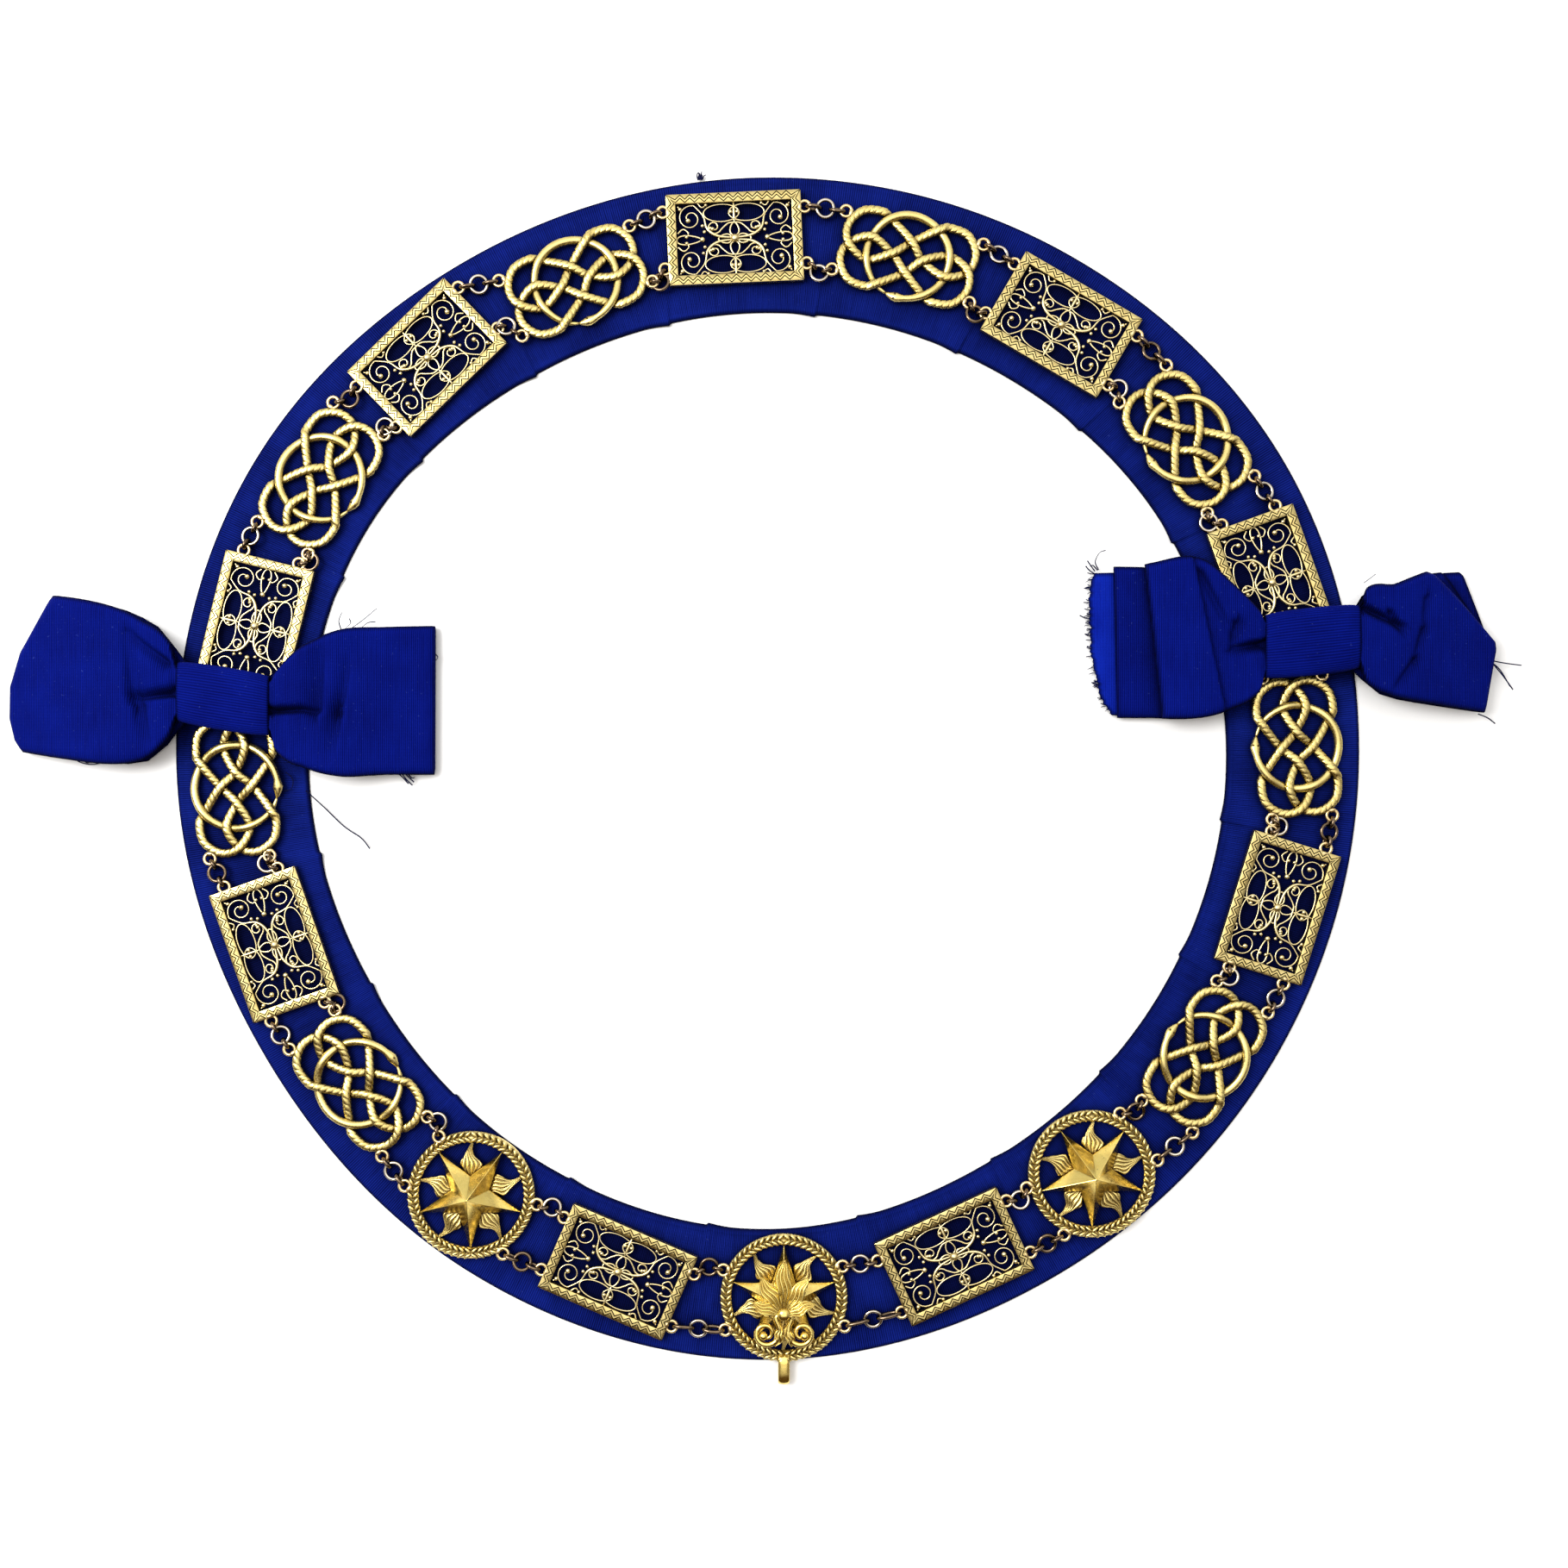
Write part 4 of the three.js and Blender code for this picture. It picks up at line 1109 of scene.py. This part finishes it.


# Jump rings: two short chains hold each link to the next, one at the outer edge and one at the inner.
# Each has a large round ring lying flat between two small oval ones that stand on edge through the links'
# eyes. They are bronze gone brown. Most of the large ones have a painted highlight: their upward faces take a
# brighter bronze, and their sides keep the dark brown as painted shade.
RING_WIRE = 0.00070
BIG_RING = 0.0032
SMALL_RING = {"width": 0.0017, "shortest": 0.0017}
RING_LEVEL = 0.0036
RING_SPREAD = {"sag": 0.0026, "lower": -0.0004, "higher": 0.0003, "small_tilt": 28, "big_tilt": 16}
# Faces of a big ring that point up more than this get the painted highlight.
LIT_FACE_SLOPE = 0.6
RING_DIRT = (0.010, 0.007, 0.005)

# The brighter bronze is a painted highlight for the tops of the big rings; their sides keep the dark bronze
# as painted shade.
lit_top_bronze = gilt("ring_bronze_painted_highlight", (0.66, 0.60, 0.51), (0.30, 0.23, 0.16), RING_DIRT, 0.9, 0.1, 0.5)
bronze = gilt("jump_ring_bronze", (0.21, 0.150, 0.095), (0.04, 0.025, 0.015), RING_DIRT, 0.9, 0.1, 0.45)


def oval_ring(middle, heading, tilt, half_long, half_wide):
    """A closed wire ring, longest along its heading and turned about that line by the tilt."""
    line = Vector((math.cos(heading), math.sin(heading), 0))
    aside = Vector((-line.y * math.cos(tilt), line.x * math.cos(tilt), math.sin(tilt)))
    face = line.cross(aside)
    sides = [k / 8 * 2 * math.pi for k in range(8)]
    rows = []
    for n in range(24):
        turn = n / 24 * 2 * math.pi
        spoke = line * (half_long * math.cos(turn)) + aside * (half_wide * math.sin(turn))
        out = (line * (half_wide * math.cos(turn)) + aside * (half_long * math.sin(turn))).normalized()
        rim = [out * math.cos(side) + face * math.sin(side) for side in sides]
        rows.append([middle + spoke + way * RING_WIRE for way in rim])
    return skin("ring", rows, bronze, loop=True)


def eye_place(node, end, side):
    along, across = EDGE_PLACES[node.split("_")[0]]
    return link_place(node) @ Vector((end * (along + EYE["stand"]), side * across, RING_LEVEL))


random.seed(7)
for number, (here, after) in enumerate(zip(LINKS, LINKS[1:] + LINKS[:1]), 1):
    for edge, side in (("outer", 1), ("inner", -1)):
        start, end = eye_place(here[0], 1, side), eye_place(after[0], -1, side)
        reach = (end - start).length
        lead = EYE["radius"] - EYE["wire"]
        hole = BIG_RING - RING_WIRE
        half_long = max(SMALL_RING["shortest"], (reach / 2 - lead - hole) / 2 + RING_WIRE)
        taut = 2 * (lead + hole + 2 * (half_long - RING_WIRE))
        outward = (start - RING_MIDDLE).normalized()
        slack = math.sqrt(max(0.0, taut * taut - reach * reach)) / 2
        sag = min(RING_SPREAD["sag"], slack) * random.choice((-1, 1))
        middle = (start + end) / 2 + outward * sag
        middle.z = RING_LEVEL + random.uniform(RING_SPREAD["lower"], RING_SPREAD["higher"])
        parts = []
        for spot in (start, end):
            line = middle - spot
            share = (lead + half_long - RING_WIRE) / (taut / 2)
            heading = math.atan2(line.y, line.x)
            tilt = 90 + random.uniform(-RING_SPREAD["small_tilt"], RING_SPREAD["small_tilt"])
            parts.append(oval_ring(spot + line * share, heading, math.radians(tilt), half_long,
                                   SMALL_RING["width"]))
        heading = math.atan2((end - start).y, (end - start).x)
        tilt = random.uniform(-RING_SPREAD["big_tilt"], RING_SPREAD["big_tilt"])
        big_ring = oval_ring(middle, heading, math.radians(tilt), BIG_RING, BIG_RING)
        # Painted highlight: most big rings take the brighter bronze on their upward faces.
        if (number + (edge == "inner")) % 3:
            big_ring.data.materials.append(lit_top_bronze)
            for face in big_ring.data.polygons:
                face.material_index = 1 if face.normal.z > LIT_FACE_SLOPE else 0
        parts.append(big_ring)
        chain = join_parts(parts, f"chain_{edge}_{number:02d}")
        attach(chain, "root")


# Bows: each is a wide grosgrain ribbon folded into two flat loops and gathered under a band at the middle.
# The cloth pinches into pleats where it goes under the band, and spreads to its full width at the ends.
# The right bow is in several layers: its ribbon goes back and forth, and one cut end shows, frayed.
BOW_LEFT = {"x": -0.1996, "y": 0.0304, "turn": -9.0}
BOW_RIGHT = {"x": 0.21105, "y": 0.0520, "turn": 6.0}
NECK = ((0.0040, -0.0095, 0.0095, 0.0077, 0.0110), (0.0178, -0.0095, 0.0095, 0.0077, 0.0112))
LEAN_ENDS = 0.0300
BOW_COLUMNS = 73
UNDER_ROWS = 12
FOLD_STEPS = (0.6, 0.3, 0.12, 0.03)
FOLD_HEM = 0.0005
CLOTH_HALF = 0.00025
CLOTH_WAVE = {"height": 0.00025, "scale": 60}
EDGE_ROLL = {"from": 0.88, "drop": 0.0015}
CREASE = {"narrowest": 0.0011, "deeper": 1.5, "fade": 0.7}
STEP_EDGE = 0.0007
LAYERS = {
    # sections: distance out, front edge, back edge, low, high; ends: place across from -1 to 1, distance out;
    # creases: start and end as (out, across), depth, width on its left and on its right;
    # step: a line of (across, out) inside of which the cloth lies lower, the drop, and how far in it reaches
    "bow_left_outer": {
        "node": "bow_left_outer_loop", "bow": BOW_LEFT, "side": -1,
        "sections": ((0.0205, -0.0165, 0.0195, 0.0066, 0.0122), (0.0290, -0.0226, 0.0284, 0.0030, 0.0128),
                     (0.0415, -0.0246, 0.0346, 0.0008, 0.0122), (0.0620, -0.0225, 0.0388, 0.0007, 0.0092),
                     (0.0840, -0.0191, 0.0401, 0.0010, 0.0048)),
        "ends": ((-1.0, 0.0790), (-0.86, 0.0818), (-0.60, 0.0838), (-0.19, 0.0836), (0.26, 0.0795),
                 (1.0, 0.0668)),
        "creases": (((0.0165, -0.0012), (0.0335, 0.0006), 0.0034, 0.0024, 0.0006),
                    ((0.0335, -0.0010), (0.0362, 0.0240), 0.0016, 0.0050, 0.0018),
                    ((0.0205, 0.0112), (0.0345, 0.0250), 0.0018, 0.0012, 0.0026),
                    ((0.0300, -0.0030), (0.0275, -0.0190), 0.0014, 0.0032, 0.0012)),
    },
    "bow_left_inner": {
        "node": "bow_left_inner_loop", "bow": BOW_LEFT, "side": 1,
        "sections": ((0.0200, -0.0172, 0.0125, 0.0066, 0.0122), (0.0280, -0.0247, 0.0186, 0.0053, 0.0130),
                     (0.0435, -0.0292, 0.0258, 0.0028, 0.0120), (0.0600, -0.0286, 0.0272, 0.0007, 0.0086),
                     (0.0783, -0.0286, 0.0280, 0.0010, 0.0050)),
        "ends": ((-1.0, 0.0776), (-0.92, 0.0781), (0.92, 0.0783), (1.0, 0.0780)),
        "creases": (((0.0160, -0.0018), (0.0350, -0.0054), 0.0036, 0.0016, 0.0006),
                    ((0.0362, -0.0045), (0.0376, 0.0215), 0.0020, 0.0050, 0.0013),
                    ((0.0440, -0.0061), (0.0481, 0.0174), 0.0013, 0.0030, 0.0011),
                    ((0.0440, -0.0061), (0.0410, -0.0220), 0.0014, 0.0011, 0.0048)),
    },
    "bow_right_inner": {
        "node": "bow_right_inner_loop", "bow": BOW_RIGHT, "side": -1,
        "sections": ((0.0200, -0.0172, 0.0130, 0.0066, 0.0122), (0.0290, -0.0246, 0.0205, 0.0062, 0.0132),
                     (0.0425, -0.0288, 0.0316, 0.0050, 0.0128), (0.0621, -0.0288, 0.0296, 0.0044, 0.0086)),
        "ends": ((-1.0, 0.0556), (1.0, 0.0621)),
        "creases": (((0.0163, 0.0020), (0.0305, -0.0028), 0.0034, 0.0006, 0.0026),
                    ((0.0290, 0.0066), (0.0305, -0.0020), 0.0018, 0.0014, 0.0028),
                    ((0.0420, 0.0260), (0.0300, 0.0010), 0.0012, 0.0018, 0.0009)),
        "step": (((-0.0290, 0.0332), (-0.0229, 0.0344), (-0.0014, 0.0389), (0.0156, 0.0423),
                  (0.0320, 0.0455)), 0.0022, 0.016),
    },
    "bow_right_under": {
        "node": None, "bow": BOW_RIGHT, "side": -1, "neck": False,
        "sections": ((0.0240, -0.0200, 0.0150, 0.0050, 0.0060), (0.0425, -0.0284, 0.0270, 0.0030, 0.0044),
                     (0.0600, -0.0286, 0.0288, 0.0024, 0.0040), (0.0735, -0.0286, 0.0292, 0.0020, 0.0036)),
        "ends": ((-1.0, 0.0718), (1.0, 0.0732)),
        "creases": (((0.0420, 0.0270), (0.0600, 0.0200), 0.0004, 0.0020, 0.0020),),
    },
    "bow_right_tail": {
        "node": None, "bow": BOW_RIGHT, "side": -1, "neck": False, "folded": False, "fray": 0.0011,
        "sections": ((0.0300, -0.0200, 0.0160, 0.0030, 0.0036), (0.0500, -0.0270, 0.0260, 0.0014, 0.0022),
                     (0.0700, -0.0276, 0.0270, 0.0010, 0.0019), (0.0830, -0.0272, 0.0268, 0.0008, 0.0016)),
        "ends": ((-1.0, 0.0738), (-0.72, 0.0785), (-0.15, 0.0818), (0.60, 0.0826), (0.92, 0.0816),
                 (1.0, 0.0806)),
    },
    "bow_right_outer": {
        "node": "bow_right_outer_loop", "bow": BOW_RIGHT, "side": 1,
        "sections": ((0.0205, -0.0170, 0.0186, 0.0066, 0.0122), (0.0305, -0.0208, 0.0214, 0.0052, 0.0130),
                     (0.0460, -0.0236, 0.0268, 0.0042, 0.0116), (0.0725, -0.0275, 0.0272, 0.0038, 0.0068)),
        "ends": ((-1.0, 0.0668), (-0.10, 0.0712), (0.0, 0.0708), (0.92, 0.0470), (1.0, 0.0440)),
        "creases": (((0.0425, 0.0160), (0.0412, 0.0043), 0.0011, 0.0026, 0.0008),
                    ((0.0412, 0.0043), (0.0378, -0.0070), 0.0013, 0.0026, 0.0008),
                    ((0.0378, -0.0070), (0.0300, -0.0184), 0.0013, 0.0026, 0.0008),
                    ((0.0190, 0.0115), (0.0345, 0.0054), 0.0028, 0.0008, 0.0020),
                    ((0.0290, 0.0105), (0.0345, 0.0020), 0.0018, 0.0010, 0.0016)),
    },
    "bow_right_leaf_a": {
        "node": None, "bow": BOW_RIGHT, "side": 1, "neck": False, "folded": False,
        "sections": ((0.0270, -0.0190, 0.0180, 0.0040, 0.0046), (0.0460, -0.0225, 0.0262, 0.0022, 0.0032),
                     (0.0725, -0.0262, 0.0276, 0.0018, 0.0030)),
        "ends": ((-1.0, 0.0640), (-0.10, 0.0715), (0.96, 0.0528), (1.0, 0.0515)),
    },
    "bow_right_leaf_b": {
        "node": None, "bow": BOW_RIGHT, "side": 1, "neck": False, "folded": False,
        "sections": ((0.0270, -0.0180, 0.0170, 0.0028, 0.0034), (0.0460, -0.0220, 0.0258, 0.0010, 0.0018),
                     (0.0725, -0.0258, 0.0276, 0.0006, 0.0015)),
        "ends": ((-1.0, 0.0630), (-0.10, 0.0712), (0.96, 0.0604), (1.0, 0.0590)),
    },
}

bow_cloth = grosgrain("bow_grosgrain_cloth", (0.0002, 0.0012, 0.060), (0.0014, 0.0078, 0.200),
                      (0.06, 0.10, 0.38), 0.7, 0.12, 0.45)
fresh_cloth = grosgrain("frayed_grosgrain_cloth", (0.0008, 0.0055, 0.180), (0.0040, 0.0220, 0.420),
                        (0.08, 0.14, 0.50), 0.9, 0.25, 0.30)


def straight_at(table, place):
    """The value at a place in a table of two columns, in straight lines between its rows."""
    for (first, a), (second, b) in zip(table, table[1:]):
        if place <= second:
            return a + (b - a) * max(0.0, (place - first) / (second - first))
    return table[-1][1]


def crease_drop(out, across, creases):
    """How far the creases lower the cloth at a place, each steeper on one side and shallower to its end."""
    drop = 0.0
    for (a_out, a_across), (b_out, b_across), depth, left, right in creases:
        line = Vector((b_out - a_out, b_across - a_across))
        spot = Vector((out - a_out, across - a_across))
        t = min(1.0, max(0.0, spot.dot(line) / line.length_squared))
        away = (spot - line * t).length
        wide = max(CREASE["narrowest"], left if line.cross(spot) > 0 else right)
        deep = CREASE["deeper"] * depth * (1 - CREASE["fade"] * t * t)
        drop += deep * math.exp(-(away / wide) ** 2)
    return drop


def bow_layer(name, bow, side, sections, ends, creases=(), step=None, neck=True, folded=True, fray=0.0,
              node=None):
    """One layer of a bow, out from its middle: a loop that folds back underneath, or a single sheet."""
    table = NECK + sections if neck else sections
    first = table[0][0]
    neck_end = NECK[-1][0]
    count = round((max(out for _, out in ends) - first) / RIB_PITCH)
    shares = [n / count for n in range(count)] + [1 - gap / count for gap in FOLD_STEPS] + [1.0]
    layers = [(1, share) for share in shares]
    if folded:
        layers += [(-1, 1 - (n / UNDER_ROWS) ** 1.6) for n in range(1, UNDER_ROWS + 1)]
    slope = side * math.tan(math.radians(bow["turn"]))
    rows = []
    threads = []
    hems = []
    for layer, share in layers:
        row = []
        for j in range(BOW_COLUMNS):
            v = 2 * j / (BOW_COLUMNS - 1) - 1
            reach = straight_at(ends, v) - first + fray * noise.noise(Vector((v * 57, side * 9.0, 0)))
            out = first + reach * share
            front, back, low, high = table_at(table, out)
            across = front + (back - front) * (v + 1) / 2
            if layer > 0:
                roll = max(0.0, (abs(v) - EDGE_ROLL["from"]) / (1 - EDGE_ROLL["from"]))
                high -= crease_drop(out, across, creases) + EDGE_ROLL["drop"] * roll ** 2
                spot = Vector((out * CLOTH_WAVE["scale"], across * CLOTH_WAVE["scale"], side))
                high += CLOTH_WAVE["height"] * noise.noise(spot)
            if layer > 0 and step and out < straight_at(step[0], across):
                inside = straight_at(step[0], across) - out
                high -= step[1] * min(1.0, inside / STEP_EDGE) * max(0.0, 1 - inside / step[2])
            half = max(0.0003, (high - low) / 2)
            end = reach * (1 - share)
            bulge = math.sqrt(max(0.0, 1 - (1 - end / half) ** 2)) if folded and end < half else 1.0
            lean = slope * min(out, neck_end)
            lean *= max(0.0, min(1.0, (LEAN_ENDS - out) / (LEAN_ENDS - neck_end)))
            level = low + half + layer * half * bulge
            row.append(Vector((bow["x"] + side * out, bow["y"] + across + lean, level)))
            threads.append((layer * out / RIB_PITCH, across / RIB_PITCH))
            # Distance from the edge or the fold end, for the painted shade along them.
            hems.append(min((1 - abs(v)) * (back - front) / 2, end + (FOLD_HEM if folded else 0.0)))
        rows.append(row)
    piece = skin(name, rows, fresh_cloth if fray else bow_cloth, tube=False,
                 weave=lambda i, j: threads[i * BOW_COLUMNS + j], hem=lambda i, j: hems[i * BOW_COLUMNS + j])
    work(piece, "SOLIDIFY", thickness=2 * CLOTH_HALF, offset=0)
    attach(piece, "root")
    if node:
        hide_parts(node)


for name, layer in LAYERS.items():
    bow_layer(name, **layer)


# Bow bands: a strip of the same ribbon, wrapped round the gathered middle of each bow and sewn at the back.
BANDS = {
    "bow_left_wrap": {"node": "bow_left_band", "bow": BOW_LEFT, "long": 0.0345, "wide": 0.0236},
    "bow_right_wrap": {"node": "bow_right_band", "bow": BOW_RIGHT, "long": 0.0356, "wide": 0.0252},
}
BAND_LOW, BAND_HIGH = 0.0062, 0.0128
BAND_SQUARE = 3.2
BAND_COLUMNS = 37
BAND_ROWS = 96
BAND_HEM = 0.0010
BAND_WAVE = 0.00025


def bow_band(name, node, bow, long, wide):
    """A closed strip round the bow's neck, a little fuller at its middle than at its edges."""
    half_y = wide / 2
    half_z = (BAND_HIGH - BAND_LOW) / 2
    girth = 2 * math.pi * math.sqrt((half_y ** 2 + half_z ** 2) / 2) * 1.02
    turn = math.radians(bow["turn"])
    rows = []
    for i in range(BAND_ROWS):
        cos, sin = math.cos(i / BAND_ROWS * 2 * math.pi), math.sin(i / BAND_ROWS * 2 * math.pi)
        square = (abs(cos) ** BAND_SQUARE + abs(sin) ** BAND_SQUARE) ** (-1 / BAND_SQUARE)
        row = []
        for j in range(BAND_COLUMNS):
            v = 2 * j / (BAND_COLUMNS - 1) - 1
            full = 1 - 0.05 * v ** 2 - 0.04 * abs(v) ** 8
            crown = 1 - 0.05 * v ** 2 - 0.30 * abs(v) ** 6
            x = long / 2 * v
            y = half_y * full * square * cos
            z = half_z * crown * square * sin + BAND_WAVE * noise.noise(Vector((v * 3.5, y * 160, 0)))
            row.append(Vector((bow["x"] + x, bow["y"] + y + x * math.tan(turn), BAND_LOW + half_z + z)))
        rows.append(row)
    rib, thread = girth / BAND_ROWS / RIB_PITCH, long / (BAND_COLUMNS - 1) / RIB_PITCH
    piece = skin(name, rows, bow_cloth, loop=True, tube=False, weave=lambda i, j: (i * rib, j * thread),
                 hem=lambda i, j: min(j, BAND_COLUMNS - 1 - j) / (BAND_COLUMNS - 1) * long + BAND_HEM)
    work(piece, "SOLIDIFY", thickness=2 * CLOTH_HALF, offset=0)
    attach(piece, "root")
    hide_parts(node)


for name, band in BANDS.items():
    bow_band(name, **band)


# Loose threads: where the ribbon was cut, threads of two plies have worked free of its edges, some in tufts.
# A fringe of short ones stands along the cut end of the right bow's ribbon.
PLY_APART = 0.00016
PLY_FULL = 1.12
THREAD_STEP = 0.0006
THREADS = {
    # lines through points in millimetres, thickness of the thread as a radius
    "threads_left_bow": (
        (((-156.8, 57.0, 5.0), (-157.4, 60.0, 6.0), (-156.1, 63.2, 6.5)), 0.10),
        (((-152.8, 57.4, 5.0), (-148.0, 60.6, 6.0), (-142.8, 64.8, 6.5)), 0.12),
        (((-149.0, 57.6, 5.0), (-146.5, 59.4, 5.5), (-143.6, 59.8, 5.5)), 0.11),
        (((-155.5, 57.0, 5.0), (-153.0, 59.4, 5.5), (-153.6, 61.0, 5.6)), 0.09),
        (((-121.6, 48.0, 3.0), (-120.4, 46.6, 3.2), (-121.0, 45.4, 3.2)), 0.10),
        (((-134.4, 2.4, 2.4), (-132.8, 0.0, 2.0), (-130.4, -2.4, 1.6)), 0.12),
        (((-133.4, 2.4, 2.4), (-131.4, 0.4, 2.0), (-129.8, -1.2, 1.6)), 0.12),
        (((-132.2, 2.4, 2.4), (-130.6, 0.4, 2.0), (-129.6, 0.6, 1.6)), 0.12),
        (((-136.0, 2.4, 2.4), (-134.2, 0.8, 2.0), (-132.0, -1.8, 1.4)), 0.12),
        (((-261.6, 9.4, 1.4), (-258.0, 6.6, 1.2), (-253.6, 5.6, 1.2), (-249.0, 6.4, 1.2)), 0.10),
        (((-257.0, 9.0, 1.4), (-255.2, 6.2, 1.2), (-252.4, 7.4, 1.2)), 0.09),
        (((-170.6, -4.4, 3.6), (-164.6, -10.6, 1.0), (-156.8, -18.1, 0.8), (-150.2, -22.6, 0.9),
          (-146.9, -26.7, 0.8)), 0.12),
        (((-178.4, 2.6, 3.4), (-176.0, 0.2, 2.6), (-176.4, -3.4, 2.2), (-179.4, -4.6, 2.2)), 0.10),
    ),
    "threads_right_bow": (
        (((132.0, 80.0, 2.0), (130.6, 83.0, 2.6), (132.2, 86.4, 3.2), (134.4, 87.2, 3.4)), 0.11),
        (((130.6, 79.4, 2.0), (128.6, 82.0, 2.4), (127.6, 83.4, 2.6)), 0.12),
        (((131.6, 79.8, 2.0), (129.8, 81.6, 2.4), (128.6, 81.4, 2.6)), 0.12),
        (((130.2, 78.6, 2.0), (128.4, 79.8, 2.2), (127.0, 81.4, 2.4)), 0.12),
        (((129.6, 61.0, 1.6), (127.0, 61.6, 1.6), (124.8, 62.6, 1.8)), 0.12),
        (((130.0, 57.0, 1.6), (128.6, 56.4, 1.6), (127.8, 55.0, 1.6)), 0.11),
        (((281.0, 45.2, 4.0), (286.6, 44.2, 3.6), (293.0, 43.4, 3.4)), 0.12),
        (((281.0, 45.0, 4.0), (286.0, 39.6, 3.0), (290.2, 34.2, 2.4)), 0.13),
        (((281.2, 44.6, 4.0), (285.0, 41.6, 3.2), (289.0, 35.4, 2.6)), 0.10),
        (((276.4, 24.8, 3.6), (280.4, 23.4, 2.6), (283.6, 21.2, 2.0)), 0.12),
        (((231.0, 74.2, 9.0), (233.4, 76.0, 9.4), (235.2, 77.4, 9.4)), 0.09),
    ),
    "threads_collar": (
        (((-20.8, 229.6, 0.9), (-20.6, 231.0, 1.2), (-21.2, 232.2, 1.4)), 0.13),
        (((-20.2, 229.6, 0.9), (-20.0, 231.2, 1.2), (-19.8, 232.4, 1.4)), 0.13),
        (((-19.4, 229.6, 0.9), (-19.0, 230.8, 1.2), (-18.2, 231.2, 1.4)), 0.12),
        (((-21.2, 229.4, 0.9), (-21.6, 230.8, 1.2), (-21.4, 231.8, 1.4)), 0.13),
        (((-20.5, 229.5, 0.9), (-20.4, 230.9, 1.0), (-20.6, 232.0, 1.1)), 0.13),
        (((-20.0, 229.5, 0.9), (-19.7, 230.6, 1.0), (-19.9, 231.5, 1.1)), 0.13),
        (((-20.9, 229.5, 0.9), (-21.1, 230.4, 1.0), (-20.8, 231.3, 1.1)), 0.13),
        (((-19.7, 229.5, 0.9), (-19.3, 230.3, 1.0), (-19.2, 230.9, 1.1)), 0.13),
    ),
}
FRINGE = {"count": 60, "first": -0.97, "last": 0.99, "half": 0.0268, "root": 1.0, "shortest": 0.5,
          "longest": 2.4, "drift": 0.9, "level": 1.2, "sink": 0.3, "thick": 0.08}
thread_blue = matt("thread_blue", (0.0006, 0.0020, 0.035), 0.7)

random.seed(11)
fringe = []
for _ in range(FRINGE["count"]):
    v = random.uniform(FRINGE["first"], FRINGE["last"])
    x = 1000 * (BOW_RIGHT["x"] - straight_at(LAYERS["bow_right_tail"]["ends"], v))
    y = 1000 * (BOW_RIGHT["y"] + FRINGE["half"] * v)
    long = random.uniform(FRINGE["shortest"], FRINGE["longest"])
    drift = random.uniform(-FRINGE["drift"], FRINGE["drift"])
    level = FRINGE["level"]
    root, middle = (x + FRINGE["root"], y, level), (x - long / 2, y + drift / 3, level)
    fringe.append(((root, middle, (x - long, y + drift, level - FRINGE["sink"])), FRINGE["thick"]))

for name, lines in THREADS.items():
    strands = []
    for points, radius in lines + tuple(fringe if name == "threads_right_bow" else ()):
        path = smooth_path([Vector(point) * 0.001 for point in points], THREAD_STEP, False)
        for ply in (0.0, PLY_APART):
            strand = [point + Vector((ply, ply, 0)) for point in path]
            strands.append(wire("thread", strand, lambda t: radius * PLY_FULL * 0.001, thread_blue))
    tuft = join_parts(strands, name)
    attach(tuft, "root")
